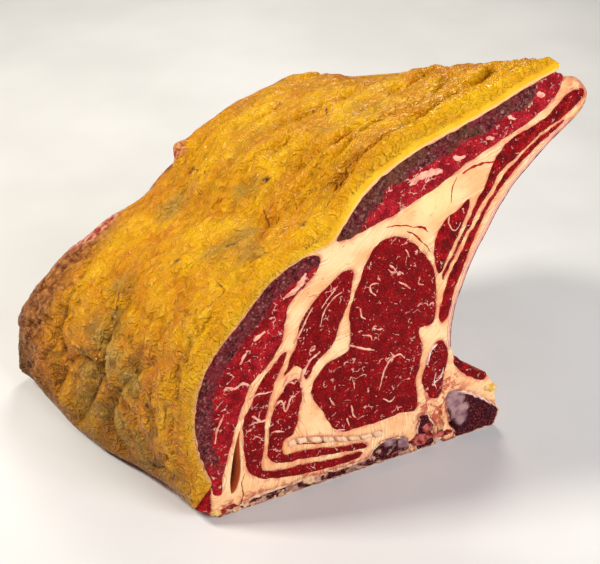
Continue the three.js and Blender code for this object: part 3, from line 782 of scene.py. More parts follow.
@dataclass
class Piece:
    """One visible piece of the roast.

    Attributes:
        name: Its name.
        finish: Its material.
        slot: The name of a material slot; it is not used.
        nodes: The CAD nodes that it stands for.
    """

    name: str
    finish: Finish
    slot: str
    nodes: tuple[str, ...] = ()

    def keep(self, bm: bmesh.types.BMesh) -> bpy.types.Object:
        """Bends a straight mesh into the roast and makes it a smooth object of the scene.

        Args:
            bm: The mesh, in straight millimetres. It is freed.

        Returns:
            The object.
        """
        for vert in bm.verts:
            vert.co = place(*vert.co)
        bmesh.ops.recalc_face_normals(bm, faces=bm.faces[:])
        for face in bm.faces:
            face.smooth = True
        mesh = mesh_of(bm, self.name)
        mesh.materials.append(self.finish.material())
        made = to_scene(self.name, mesh)
        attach(made, "root")
        if self.nodes:
            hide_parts(*self.nodes)
        log.info("%s: %d faces", self.name, len(mesh.polygons))
        return made


def masked(bm: bmesh.types.BMesh, names: Iterable[str]) -> None:
    """Gives a mesh the named numbers, all 0, before any of its points is kept in a list."""
    for name in names:
        if name not in bm.verts.layers.float:
            bm.verts.layers.float.new(name)


def pull(bm: bmesh.types.BMesh, face: bmesh.types.BMFace) -> bmesh.types.BMFace:
    """Extrudes an end face, and gives the new end, which still lies in the same place."""
    made = bmesh.ops.extrude_face_region(bm, geom=[face, *face.edges, *face.verts])["geom"]
    return next(e for e in made if isinstance(e, bmesh.types.BMFace))


def prism(ring: Ring, rows: Sequence[float],
          layers: dict[str, Sequence[float]] | None = None) -> bmesh.types.BMesh:
    """A closed straight solid: a ring carried through rows along the roast.

    Args:
        ring: The ring on the cut face.
        rows: Distances along the roast, from the near end.
        layers: Numbers to store on the ring's points, by name.

    Returns:
        The solid.
    """
    bm = bmesh.new()
    masked(bm, layers or {})
    verts = [bm.verts.new((x, rows[0], z)) for x, z in ring]
    for name, values in (layers or {}).items():
        layer = bm.verts.layers.float[name]
        for vert, value in zip(verts, values):
            vert[layer] = value
    face = bm.faces.new(verts)
    for low, high in zip(rows, rows[1:]):
        face = pull(bm, face)
        bmesh.ops.translate(bm, verts=face.verts[:], vec=(0.0, high - low, 0.0))
    return bm


def flat_at(face: bmesh.types.BMFace, y: float) -> bool:
    """Whether a face of a straight solid lies flat at a distance along the roast."""
    return all(abs(v.co.y - y) < 1e-3 for v in face.verts)


def grid_end(bm: bmesh.types.BMesh, y: float, pitch: float) -> list[bmesh.types.BMVert]:
    """Cuts a flat end into small squares, so that it can take relief.

    Args:
        bm: The straight solid.
        y: Where the end is.
        pitch: The size of a square.

    Returns:
        The points of the end.
    """
    for axis in (0, 2):
        normal = Vector((float(axis == 0), 0.0, float(axis == 2)))
        faces = [f for f in bm.faces if flat_at(f, y)]
        at = min(v.co[axis] for f in faces for v in f.verts) + pitch * 0.713
        while faces:
            geom = {*faces, *(e for f in faces for e in f.edges), *(v for f in faces for v in f.verts)}
            made = bmesh.ops.bisect_plane(bm, geom=list(geom), dist=1e-4, plane_co=normal * at,
                                          plane_no=normal)["geom"]
            left = [e for e in made if isinstance(e, bmesh.types.BMFace) and flat_at(e, y)]
            faces = [f for f in left if max(v.co[axis] for v in f.verts) > at + pitch]
            at += pitch
    return list({v for f in bm.faces if flat_at(f, y) for v in f.verts})


# Lines of the cut face from which finishes measure their distance
CAP_LINE = tree_of(spline(FAT_INNER, 0.7, False))
CHEST_LINE = tree_of(spline(CHEST_SIDE, 0.7, False))
LIP_LINE = tree_of(spline((*LIP, *CHEST_SIDE[:2]), 0.7, False))


@dataclass
class Slab(Piece):
    """A muscle, sinew or bone that runs through the roast and shows at its cut ends.

    Attributes:
        outline: Its outline on the near cut face.
        start: Where it begins along the roast.
        end: Where it ends.
        step: Spacing of its outline's points.
        pitch: Size of the squares of its ends.
        pillow: How far its middle stands out of the cut.
        ragged: How rough its sides and ends are.
        bark_mm: How deep it has dried below the cap.
        ridges: Length of the segments that it is jointed into, or 0.
        rows: Number of stretches along it.
        uneven: How far its outline strays from a smooth line.
        gristle: Spots of gristle on its near end, each as (x, z, radius).
        pits: Hollows of its near end, each as (x, z, radius, depth).
        ring: Its smooth outline, worked out from the points.
    """

    outline: Sequence[Point] = ()
    start: float = 0.0
    end: float = LENGTH
    step: float = 1.0
    pitch: float = 2.0
    pillow: float = 0.7
    ragged: float = 0.0
    bark_mm: float = 0.0
    ridges: float = 0.0
    rows: int = 1
    uneven: float = 0.9
    gristle: Sequence[tuple[float, float, float]] = ()
    pits: Sequence[tuple[float, float, float, float]] = ()
    ring: Ring = field(default_factory=list)

    def __post_init__(self) -> None:
        """Works out the ring: smooth, but as uneven as grown tissue is, and never below the ground."""
        self.ring = [(x + self.uneven * wrinkle(x, 3.0, z, 5.0),
                      max(0.0, z + self.uneven * wrinkle(x, 30.0, z, 5.0)))
                     for x, z in spline(self.outline, self.step)]

    def channel(self, clearance: float) -> bmesh.types.BMesh:
        """The space that the slab takes, drawn past the cut ends.

        Args:
            clearance: How much larger than the slab it is.

        Returns:
            The straight solid.
        """
        over = [OVERRUN if self.start <= 0 else clearance, OVERRUN if self.end >= LENGTH else clearance]
        return prism(grow(self.ring, clearance), [self.start - over[0], self.end + over[1]])

    def relief(self, x: float, z: float, edge: float, sign: float) -> float:
        """How far a point of an end stands out of the cut.

        Args:
            x: Its place across.
            z: Its height.
            edge: Its distance from the slab's outline.
            sign: -1 at the near end and 1 at the far one.

        Returns:
            The distance out, in millimetres.
        """
        out = self.pillow * settle(edge, 0.9)
        out += 0.5 * wrinkle(x, sign * 50, z, 11.0) * settle(edge, 3.0)
        out -= 1.6 * self.gap(x, z)
        if self.ragged:
            out += self.ragged * wrinkle(x, sign * 90, z, 4.0) * settle(edge, 1.5)
        if sign < 0:
            for px, pz, size, depth in self.pits:
                out -= depth * (1.0 - ease(0.2, 1.0, math.hypot(x - px, z - pz) / size))
        return out

    def gap(self, x: float, z: float) -> float:
        """1 in the gaps between the segments of a jointed slab, fading to 0 beside them."""
        if not self.ridges:
            return 0.0
        off = (x + 0.35 * z + 1.2 * wrinkle(x, 1.0, z, 9.0)) % self.ridges - self.ridges / 2
        return math.exp(-((off / 0.75) ** 2))

    def build(self) -> bpy.types.Object:
        """Models the slab.

        Returns:
            Its object.
        """
        bm = prism(self.ring, np.linspace(self.start, self.end, self.rows + 1).tolist())
        border = tree_of(self.ring)
        for end in (self.start, self.end):
            grid_end(bm, end, self.pitch)
        names = ("edge", "flat", "bark", "gristle", "pit")
        masked(bm, names)
        edge, flat, bark, gristle, pit = (bm.verts.layers.float[name] for name in names)
        for vert in bm.verts:
            x, y, z = vert.co
            sign = -1.0 if y < self.start + 1e-3 else 1.0 if y > self.end - 1e-3 else 0.0
            vert[edge] = near(border, x, z)
            vert[flat] = abs(sign)
            vert[bark] = self.bark(x, y, z)
            vert.co.y += sign * self.relief(x, z, vert[edge], sign)
            if sign < 0:
                ragged = 0.3 * wrinkle(x, 8.0, z, 4.0)
                vert[gristle] = 1.0 - ease(0.8, 1.1, nearest(self.gristle, x, z) + ragged)
                # Painted shade for the hollows of the end and for the gaps between segments.
                hollow_shade = 1.0 - ease(0.45, 0.9, nearest(self.pits, x, z) + ragged)
                vert[pit] = max(self.gap(x, z), hollow_shade)
            if self.ragged and z > 0.6:
                vert.co.x += self.ragged * wrinkle(x, y, z, 5.0)
                vert.co.z = max(0.0, z + self.ragged * wrinkle(x + 70, y, z, 7.0))
        return self.keep(bm)

    def bark(self, x: float, y: float, z: float) -> float:
        """How far a point has dried, from 0 to 1: most under the cap and at the far end."""
        if not self.bark_mm:
            return 0.85 * far_end(y)
        depth = near(CAP_LINE, x, z) + 3.6 * wrinkle(x, y, z, 11.0) + 1.8 * wrinkle(x, y, z, 4.0)
        under_cap = 1.0 - ease(self.bark_mm - 4.0, self.bark_mm + 1.5, depth)
        under_cap *= ease(10.0, 75.0, z) * (1.0 - ease(208.0, 222.0, x + 4.0 * wrinkle(x, y, z, 9.0)))
        return max(under_cap, 0.85 * far_end(y))


@dataclass
class SeamFat(Piece):
    """The cream fat and sinew that everything else lies in, with the chest side's membrane.

    Attributes:
        filled: The slabs that lie in it.
        ribs: The rib bones on its chest side.
        pitch: Size of the squares of its cut ends.
    """

    filled: Sequence[Slab] = ()
    ribs: Sequence["Rib"] = ()
    pitch: float = 2.2

    def core(self) -> bmesh.types.BMesh:
        """Its outer shape before anything is cut from it."""
        lining = spline(FAT_INNER, 1.2, False)
        chest = spline((*LIP, *CHEST_SIDE), 1.6, False)
        low = spline((CHEST_SIDE[-1], *CHINE_SIDE), 1.6, False)[1:]
        ring = [*lining, *chest, *low, *FOOT]
        return prism(ring, np.linspace(0.0, LENGTH, 71).tolist())

    def shape_chest(self, bm: bmesh.types.BMesh) -> None:
        """Raises the membrane beside each rib and lets it sag between them."""
        line = spline(CHEST_SIDE, 2.0, False)
        tree, normals = tree_of(line), side(line, False)
        for vert in bm.verts:
            x, y, z = vert.co
            if z < 75 or near(CHEST_LINE, x, z) > 1.2 or not 0.0 < y < LENGTH:
                continue
            nx, nz = normals[tree.find((x, 0.0, z))[1]]
            fillet = 2.4 * math.exp(-((max(0.0, off_rib(y) - RIB_HALF_WIDTH) / 3.5) ** 2))
            inside = ease(0.0, 6.0, y) * (1.0 - ease(LENGTH - 6.0, LENGTH, y))
            lift = (fillet - 0.9 + 0.8 * wrinkle(x, y, z, 9.0)) * inside
            vert.co.x -= nx * lift
            vert.co.z -= nz * lift

    def cut(self, body: bpy.types.Object, cutters: Sequence[bmesh.types.BMesh]) -> None:
        """Cuts solids that don't meet each other from a body.

        Args:
            body: The object that is cut, in straight millimetres.
            cutters: The straight solids, which are freed.
        """
        whole = joined(cutters)
        bmesh.ops.recalc_face_normals(whole, faces=whole.faces[:])
        tool = to_scene("cutters", mesh_of(whole, "cutters"))
        modifier = body.modifiers.new("cut", "BOOLEAN")
        modifier.operation = "DIFFERENCE"
        modifier.solver = "MANIFOLD"
        modifier.object = tool
        result = body.evaluated_get(bpy.context.evaluated_depsgraph_get())
        result = bpy.data.meshes.new_from_object(result)
        body.modifiers.clear()
        body.data = result
        bpy.data.objects.remove(tool)

    def build(self) -> bpy.types.Object:
        """Models the fat round everything that lies in it.

        Returns:
            Its object.
        """
        bm = self.core()
        self.shape_chest(bm)
        bmesh.ops.recalc_face_normals(bm, faces=bm.faces[:])
        body = to_scene("core", mesh_of(bm, "core"))
        canal = prism(list(SPINAL_CANAL), [-OVERRUN, LENGTH + OVERRUN])
        slit = prism(spline(SLIT, 1.0), [-OVERRUN, SLIT_DEPTH])
        self.cut(body, [*(s.channel(-0.12) for s in self.filled), canal, slit])
        self.cut(body, [r.channel() for r in self.ribs])
        bm = bmesh.new()
        bm.from_mesh(body.data)
        bpy.data.objects.remove(body)
        self.dress(bm)
        return self.keep(bm)

    def dress(self, bm: bmesh.types.BMesh) -> None:
        """Gives the cut ends their relief and stores what the finish needs."""
        border = tree_of(p for s in self.filled for p in s.ring)
        slit_ring = tree_of(spline(SLIT, 1.0))
        for end in (0.0, LENGTH):
            grid_end(bm, end, self.pitch)
        names = ("edge", "bark_line", "chest_line", "flat", "chest_face", "over_rib", "sawn", "slit",
                 "pure", "raw", "far")
        masked(bm, names)
        keys = {name: bm.verts.layers.float[name] for name in names}
        for vert in bm.verts:
            x, y, z = vert.co
            sign = -1.0 if y < 1e-3 else 1.0 if y > LENGTH - 1e-3 else 0.0
            cap, chest = near(CAP_LINE, x, z), near(CHEST_LINE, x, z)
            vert[keys["edge"]] = near(border, x, z)
            vert[keys["bark_line"]], vert[keys["chest_line"]] = cap, chest
            vert[keys["flat"]] = abs(sign)
            lip = near(LIP_LINE, x, z) + 1.5 * wrinkle(x, y, z, 4.0)
            vert[keys["far"]] = max(far_end(y), 1.0 - ease(0.6, 3.0, lip))
            vert[keys["sawn"]] = 1.0 - ease(1.5, 7.0, z + 2.5 * wrinkle(x, y, z, 6.0))
            vert[keys["pure"]] = 1.0 - ease(0.4, 1.3, away_from(PURE_SPOT, x, z))
            bloody = ease(0.5, 1.1, away_from(BLOODY_SPOT, x, z) + 0.2 * wrinkle(x, y, z, 8.0))
            tip = 0.3 + 0.7 * ease(0.5, 1.2, away_from(RAW_TIP, x, z))
            vert[keys["raw"]] = 1.0 - min(bloody, tip, ease(7.0, 15.0, z + 4.0 * wrinkle(x, y, z, 9.0)))
            if sign:
                edge = min(vert[keys["edge"]], cap, chest)
                vert.co.y += sign * (0.4 * settle(edge, 1.0) + 0.6 * wrinkle(x, sign * 20, z, 12.0))
                continue
            # The slit's walls store how deep they lie, for the painted shade that darkens them with depth.
            if y < SLIT_DEPTH + 1.0 and near(slit_ring, x, z) < 1.5:
                vert[keys["slit"]] = 0.15 + 0.85 * ease(0.0, SLIT_DEPTH, y)
            if x > 150:
                vert[keys["raw"]] = max(vert[keys["raw"]], 0.75 * (1.0 - ease(62.0, 76.0, z)))
            if z > 60 and chest < 4.5:
                vert[keys["chest_face"]] = 1.0
                high = ease(80.0, 95.0, z + 4.0 * wrinkle(x, y, z, 9.0))
                vert[keys["over_rib"]] = self.over_rib(x, y, z) * high

    @staticmethod
    def over_rib(x: float, y: float, z: float) -> float:
        """1 on the membrane beside a rib, fading to 0 between them."""
        return 1.0 - ease(RIB_HALF_WIDTH, RIB_HALF_WIDTH + 5.0, off_rib(y) + 2.0 * wrinkle(x, y, z, 6.0))


@dataclass
class Rib(Piece):
    """A rib bone: an oval bar that follows the chest side and is sawn off at the lip.

    Attributes:
        middle: Its middle's place along the roast.
    """

    middle: float = RIB_FIRST

    def bar(self, outset: float, around: int, step: float) -> bmesh.types.BMesh:
        """Models the bar.

        Args:
            outset: How much larger than the bone it is.
            around: Points round its section.
            step: Spacing along it.

        Returns:
            The straight solid.
        """
        tip = (RIB_TIP[0] + outset * 3, RIB_TIP[1] + outset * 2)
        foot = (RIB_FOOT[0], RIB_FOOT[1] - outset * 2)
        line = spline((tip, *CHEST_SIDE[:-1], foot), step, False)
        normals = side(line, False)
        thick = (RIB_PROUD + RIB_DEPTH) / 2 + outset
        wide = RIB_HALF_WIDTH + outset
        out = (RIB_PROUD - RIB_DEPTH) / 2
        bm = bmesh.new()
        bmesh.ops.create_circle(bm, cap_ends=True, segments=around, radius=1.0)
        face = bm.faces[:][0]
        angles = [math.atan2(v.co.y, v.co.x) for v in face.verts]
        for i, ((x, z), (nx, nz)) in enumerate(zip(line, normals)):
            if i:
                face = pull(bm, face)
            for vert, angle in zip(face.verts, angles):
                across = squarish(math.cos(angle)) * wide
                depth = squarish(math.sin(angle)) * thick + out
                if not outset:
                    depth += 0.5 * wrinkle(x, self.middle + across, z, 9.0)
                vert.co = (x - nx * depth, self.middle + across, z - nz * depth)
        return bm

    def channel(self) -> bmesh.types.BMesh:
        """The space that the bone takes in the fat."""
        return self.bar(-0.1, 20, 8.0)

    def build(self) -> bpy.types.Object:
        """Models the bone."""
        return self.keep(self.bar(0.0, 32, 2.0))


# Marks on the skin, as (distance round the cap, distance along the roast, radius)
SKIN_MARKS = {
    "olive": ((220, 158, 20), (194, 56, 22), (186, 30, 16), (76, 66, 22), (102, 104, 24), (82, 88, 20),
              (60, 110, 26), (240, 94, 14), (30, 80, 26), (20, 50, 18), (140, 116, 14), (36, 116, 20)),
    "stain": ((22, 182, 9), (42, 198, 5), (169, 82, 3), (191, 54, 5), (249, 80, 4), (216, 12, 4),
              (80, 200, 4), (63, 40, 3), (66, 101, 3), (10, 160, 7), (256, 176, 5), (12, 20, 3)),
    "bare": ((198, 203, 9), (186, 202, 11), (174, 202, 11), (162, 203, 10), (272, 205, 11), (282, 206, 7)),
}
# Dark veins and dry cracks on the skin, in the same two distances
VEINS = (
    ((133, 14), (136, 8), (141, 4), (142, 0)),
    ((140, 20), (149, 22), (157, 22), (162, 34)),
    ((223, 54), (230, 54), (232, 50)),
    ((244, 28), (250, 22), (253, 14)),
    ((258, 180), (256, 168), (255, 162)),
    ((135, 116), (110, 110), (88, 106), (56, 104), (34, 108)),
    ((79, 62), (75, 42), (62, 36), (44, 40)),
    ((200, 34), (214, 46), (225, 60)),
    ((290, 60), (297, 66), (303, 64)),
    ((318, 96), (325, 104)),
)


@dataclass
class FatCap(Piece):
    """The cap of yellow fat, a crumpled skin outside and a clean cut at its near end.

    Attributes:
        step: Spacing of points round the skin.
        row: Spacing of rows along the roast.
        pitch: Size of the squares of its near cut.
        edge_radius: How round the outer edge of the near cut is.
    """

    step: float = 1.2
    row: float = 1.25
    pitch: float = 1.4
    edge_radius: float = 6.5

    def __post_init__(self) -> None:
        """Makes the search trees of the creases and the veins."""
        paths = [spline(path, 1.0, False) for _, _, path in CREASES]
        self.crease_of = [k for k, path in enumerate(paths) for _ in path]
        self.creases = tree_of(p for path in paths for p in path)
        self.veins = tree_of(p for path in VEINS for p in spline(path, 0.8, False))

    def rows(self) -> list[float]:
        """Distances along the roast of the rows of points, closest at the ends."""
        middle = np.arange(4.0, LENGTH - 4.0, self.row).tolist()
        return [0.0, 0.5, 1.1, 1.9, 2.9, *middle, LENGTH - 3.0, LENGTH - 1.8, LENGTH - 0.8, LENGTH]

    def crease(self, around: float, along: float) -> tuple[float, float]:
        """How deep the nearest named crease is at a place on the skin: broadly, and in its sharp fold."""
        _, index, away = self.creases.find((around, 0.0, along))
        deep, width, _ = CREASES[self.crease_of[index]]
        away += 2.0 * wrinkle(around, along, 5.0, 9.0)
        return deep * math.exp(-((away / width) ** 2)), 0.45 * deep * math.exp(-abs(away) / 1.6)

    def folds(self, around: float, along: float) -> float:
        """Height of the skin's large swells, and of the nub at the far end."""
        height = 0.0
        for tall, wide, deep, shift in SWELLS:
            across = math.sin(around / wide + shift + along / 90)
            height += tall * across * math.sin(along / deep + shift * 2 + around / 70)
        nub = ((around - NUB_AROUND) / NUB_WIDTH) ** 2 + ((along - NUB_ALONG) / NUB_LENGTH) ** 2
        return height + NUB_HEIGHT * math.exp(-nub)

    def skin(self, around: float, along: float) -> float:
        """Height of the skin's crumples, from long wrinkles down to pebbles.

        Args:
            around: Distance round the cap from its foot.
            along: Distance along the roast.

        Returns:
            The height, in millimetres.
        """
        bend = 7.0 * wrinkle(around, along, 3.0, 22.0)
        upper = ease(190.0, 270.0, around)
        a, b = around / (1.8 + 1.2 * upper) + bend, along + bend
        height = (2.0 + 1.2 * upper) * crumple(a, b, 7.0, 14.0)
        height += 1.5 * crumple(a * 1.3, b, 21.0, 7.5)
        height += 0.75 * crumple(around / 1.5 + bend, along + bend, 35.0, 4.0)
        height += 2.6 * crumple(around, along * 0.8, 77.0, 25.0) * (1.0 - ease(90.0, 170.0, around))
        calm = 1.0 - 0.6 * ease(LENGTH - 14.0, LENGTH - 4.0, along)
        return height * calm * (0.9 + 0.6 * wrinkle(around, along, 60.0, 30.0))

    def crust(self, around: float, along: float) -> float:
        """How crusted and brown the skin is, from 0 to 1: towards the far left end."""
        ragged = 10.0 * wrinkle(around, along, 80.0, 18.0) + 4.0 * wrinkle(around, along, 90.0, 6.0)
        start = LENGTH - 56.0 + 0.1 * max(0.0, around - 40.0)
        side_crust = ease(start, start + 26.0, along + ragged) * (1.0 - ease(176.0, 200.0, around + ragged))
        return max(side_crust, 0.85 * ease(LENGTH - 8.0, LENGTH - 1.0, along + 0.3 * ragged))

    @staticmethod
    def mark(around: float, along: float, spots: Sequence[tuple[float, float, float]]) -> float:
        """Strength of a set of soft ragged patches at a place.

        Args:
            around: Distance round the cap.
            along: Distance along the roast.
            spots: The patches, each as (around, along, radius).

        Returns:
            A strength from 0 to 1.
        """
        best = 0.0
        for r, a, size in spots:
            away = math.hypot(around - r, along - a) / size
            if away < 1.6:
                ragged = 0.5 * wrinkle(around, along, 11.0 + r, size * 0.5)
                best = max(best, 1.0 - ease(0.3, 1.1, away + ragged))
        return best

    @staticmethod
    def thick(around: float) -> float:
        """How thick the cap is at a place round it, as a share: it thins out at its foot and its tip."""
        return 0.15 + 0.85 * ease(0.0, 40.0, around) * (1.0 - ease(370.0, 410.0, around))

    def outset(self, around: float, along: float) -> float:
        """How far the skin swells out of its outline, or is drawn in at the far end."""
        far = FAR_ROUND * (1.0 - math.sqrt(1.0 - ease(LENGTH - 11.0, LENGTH, along) ** 2))
        swell = look_up(FAR_SWELL, around) * ease(LENGTH - 75.0, LENGTH - 8.0, along)
        foot = FOOT_OUT * look_up(FOOT_SWELL, along) * (1.0 - ease(12.0, 75.0, around))
        sag = ease(330.0, 385.0, around) * ease(5.0, 60.0, along) * (1.0 - ease(140.0, 185.0, along))
        return swell + foot - TOP_SAG * sag - self.thick(around) * far

    def rise(self, around: float, along: float) -> float:
        """How far a point of the skin stands out of its outline, with all folds and crumples."""
        fade = ease(0.0, 14.0, around) * (1.0 - ease(395.0, 412.0, around))
        fine = self.skin(around, along) * (1.0 + 0.6 * self.crust(around, along))
        height = (self.folds(around, along) - sum(self.crease(around, along))) * ease(-4.0, 10.0, along)
        return (height + fine * ease(-14.0, 9.0, along)) * fade + self.outset(around, along)

    def round_edge(self, verts: Sequence[bmesh.types.BMVert], keys: dict[str, object]) -> None:
        """Rounds the cut's outer edge, so that the skin rolls over onto it.

        Args:
            verts: The points of the near end.
            keys: The numbers stored on the mesh, by name.
        """
        line = spline(FAT_OUTER, self.step, False)
        outline, normals = tree_of(line), side(line, False)
        for vert in verts:
            x, _, z = vert.co
            _, index, deep = outline.find((x, 0.0, z))
            around = index * self.step
            radius = self.edge_radius * self.thick(around)
            share = 1.0 - min(1.0, deep / radius)
            skin = self.rise(around, 0.0) * share
            inner = near(CAP_LINE, x, z)
            knife = 1.0 - 0.75 * ease(4.0, 8.5, inner + 1.5 * wrinkle(x, 2.0, z, 9.0))
            vert[keys["cut"]] = knife * (0.4 + 0.6 * ease(170.0, 250.0, around))
            vert[keys["warm"]] = 1.0 - ease(50.0, 200.0, around)
            vert[keys["vein"]] = FAR_AWAY
            vert.co.x -= normals[index][0] * skin
            vert.co.z -= normals[index][1] * skin
            out = 0.8 * settle(inner, 2.0) + 0.6 * wrinkle(x, 5.0, z, 14.0)
            out += 0.8 * crumple(x, 11.0, z, 4.5) * ease(3.0, 8.0, inner)
            vert.co.y = radius * (1.0 - math.sqrt(1.0 - share ** 2)) - out * (1.0 - share)

    def build(self) -> bpy.types.Object:
        """Models the cap.

        Returns:
            Its object.
        """
        outer = spline(FAT_OUTER, self.step, False)
        inner = spline(FAT_INNER, 3.0, False)
        ring = [*outer, (227.5, 262.4), (230.3, 260.4), FAT_TIP, *reversed(inner), (-15.0, 19.2)]
        normals = side(outer, False)
        rest = len(ring) - len(outer)
        layers = {
            "around": [*(i * self.step for i in range(len(outer))), *[-1.0] * rest],
            "nx": [*(-n[0] for n in normals), *[0.0] * rest],
            "nz": [*(-n[1] for n in normals), *[0.0] * rest],
        }
        bm = prism(ring, self.rows(), layers)
        names = (*SKIN_MARKS, "crust", "warm", "groove", "vein", "cut", "bark_line")
        masked(bm, names)
        near_end = grid_end(bm, 0.0, self.pitch)
        keys = dict(bm.verts.layers.float.items())
        around, nx, nz = (keys[name] for name in layers)
        on_cut = set(near_end)
        for vert in bm.verts:
            r, y = vert[around], vert.co.y
            vert[keys["vein"]] = FAR_AWAY
            if vert in on_cut or r < 0.0 or not (vert[nx] or vert[nz]):
                continue
            radius = self.edge_radius * self.thick(r)
            height = max(self.rise(r, y), 1.5 - near(CAP_LINE, vert.co.x, vert.co.z))
            droop = FOOT_DOWN * look_up(FOOT_SWELL, y) * (1.0 - ease(0.0, 40.0, r))
            vert.co.x += vert[nx] * height
            vert.co.z = max(0.3, vert.co.z + vert[nz] * height - droop)
            vert.co.y = max(y, radius + y * (1.0 - radius / SQUEEZED))
            for name, spots in SKIN_MARKS.items():
                vert[keys[name]] = self.mark(r, y, spots)
            vert[keys["olive"]] *= 1.0 - 0.15 * ease(130.0, 170.0, r)
            vert[keys["crust"]] = self.crust(r, y)
            vert[keys["warm"]] = 1.0 - ease(50.0, 150.0, r) * (1.0 - ease(375.0, 400.0, r))
            vert[keys["vein"]] = near(self.veins, r, y)
            # Painted shade: the skin's hollows and crease folds, the underside where the cap curls under, and
            # the foot of its far end are darkened in colour.
            hollow_shade = ease(0.3, 1.3, -self.skin(r, y)) * 0.45 + ease(0.35, 1.3, self.crease(r, y)[1]) * 0.6
            hollow_shade *= 0.45 + 0.55 * (1.0 - ease(60.0, 190.0, r))
            under = 0.6 * (1.0 - ease(6.0, 66.0, vert.co.z + 12.0 * wrinkle(r, y, 17.0, 12.0)))
            far_foot_shade = 0.75 * ease(LENGTH - 45.0, LENGTH - 12.0, y) * (1.0 - ease(35.0, 100.0, r))
            vert[keys["groove"]] = max(hollow_shade, under, far_foot_shade)
            vert[keys["cut"]] = 0.25 * (1.0 - ease(1.0, 14.0, y + 5.0 * wrinkle(r, y, 9.0, 12.0)))
        self.round_edge(near_end, keys)
        for vert in bm.verts:
            vert[keys["bark_line"]] = near(CAP_LINE, vert.co.x, vert.co.z)
        return self.keep(bm)


# Lines on the near cut, each as (width, points): fat branches, silver skin, blood and cracks
BRANCHES = (
    (1.1, ((82, 141), (76, 138), (69, 129), (67, 121))),
    (0.9, ((79, 146), (73, 140), (68, 133))),
    (1.0, ((62, 136), (57, 128), (54, 121), (49, 114))),
    (2.0, ((67, 103), (61, 99), (57, 93), (54, 86), (55, 78))),
    (2.0, ((52, 91), (45, 90), (42, 85))),
    (1.6, ((50, 75), (47, 75), (43, 66), (40, 75), (35, 72))),
    (1.1, ((19, 83), (24, 85), (30, 84), (35, 84))),
    (1.8, ((20, 70), (26, 64), (31, 64))),
    (1.4, ((33, 53), (36, 53), (42, 51))),
    (1.6, ((1, 78), (-2, 71), (-4, 66), (-5, 58))),
    (1.5, ((3, 97), (9, 94), (14, 96), (20, 92))),
    (3.8, ((57, 161), (51, 152), (42, 147))),
    (2.6, ((30, 128), (26, 126), (22, 124))),
    (2.0, ((17, 117), (15, 114), (13, 110))),
    (1.4, ((129, 79), (125, 83), (120, 82), (116, 77), (113, 69), (111, 60))),
    (1.0, ((118, 87), (120, 84), (122, 82))),
    (1.6, ((106, 92), (97, 96), (88, 101))),
    (1.2, ((108, 140), (102, 140), (102, 136), (106, 132))),
    (1.3, ((114, 148), (117, 145), (120, 145), (119, 147), (115, 151))),
    (1.0, ((122, 137), (127, 134), (131, 130))),
    (1.0, ((126, 159), (128, 156), (129, 153))),
    (1.2, ((95, 126), (96, 120), (99, 117))),
    (1.4, ((104, 109), (108, 107), (112, 106))),
    (1.0, ((138, 136), (137, 132), (141, 130))),
    (1.0, ((91, 75), (92, 71), (92, 67))),
    (1.3, ((114, 52), (120, 48), (123, 51))),
    (1.2, ((74, 66), (76, 62), (78, 59))),
    (1.2, ((90, 55), (92, 47), (94, 44))),
    (1.3, ((87, 46), (88, 43), (89, 40))),
    (1.2, ((79, 38.5), (82, 38.5), (86, 37.5))),
    (1.0, ((97, 106), (103, 103), (104, 100))),
    (4.2, ((127, 202), (134, 206), (144, 207), (150, 206))),
    (3.0, ((157, 214), (162, 212), (166, 213))),
    (3.0, ((216, 244), (219, 242), (222, 241))),
    (2.4, ((180, 222), (183, 221), (186, 220))),
    (2.4, ((195, 233), (198, 231), (201, 230))),
    (0.9, ((157, 175), (157, 169), (162, 163), (166, 168))),
)
SILVER = (
    (2.4, ((154, 82), (150, 79), (148, 74), (147, 68))),
    (1.0, ((160, 62), (158, 55), (153, 52))),
    (0.8, ((154, 60), (153, 54), (155, 47))),
    (1.1, ((173, 39), (182, 35), (192, 28), (201, 19))),
)
BLOOD = (
    (1.5, ((132, 172.5), (138, 171), (142, 167))),
    (1.5, ((165, 201), (171, 204), (178, 205), (188, 204))),
    (0.8, ((161, 200), (158, 191), (158, 183))),
    (1.0, ((127, 171), (132, 168), (137, 163))),
    (0.9, ((112, 177.5), (119, 177), (126, 175), (133, 172))),
    (1.2, ((-6, 3), (-2, 5), (4, 4))),
)
CRACKS = (
    (0.6, ((134, 165), (140, 159), (145, 152))),
    (0.7, ((42, 118.5), (35, 109), (26, 99))),
    (0.8, ((52, 37.5), (58, 35.5), (66, 33), (73, 31.5))),
    (0.7, ((14, 28), (12, 20), (13, 12), (11, 5))),
)


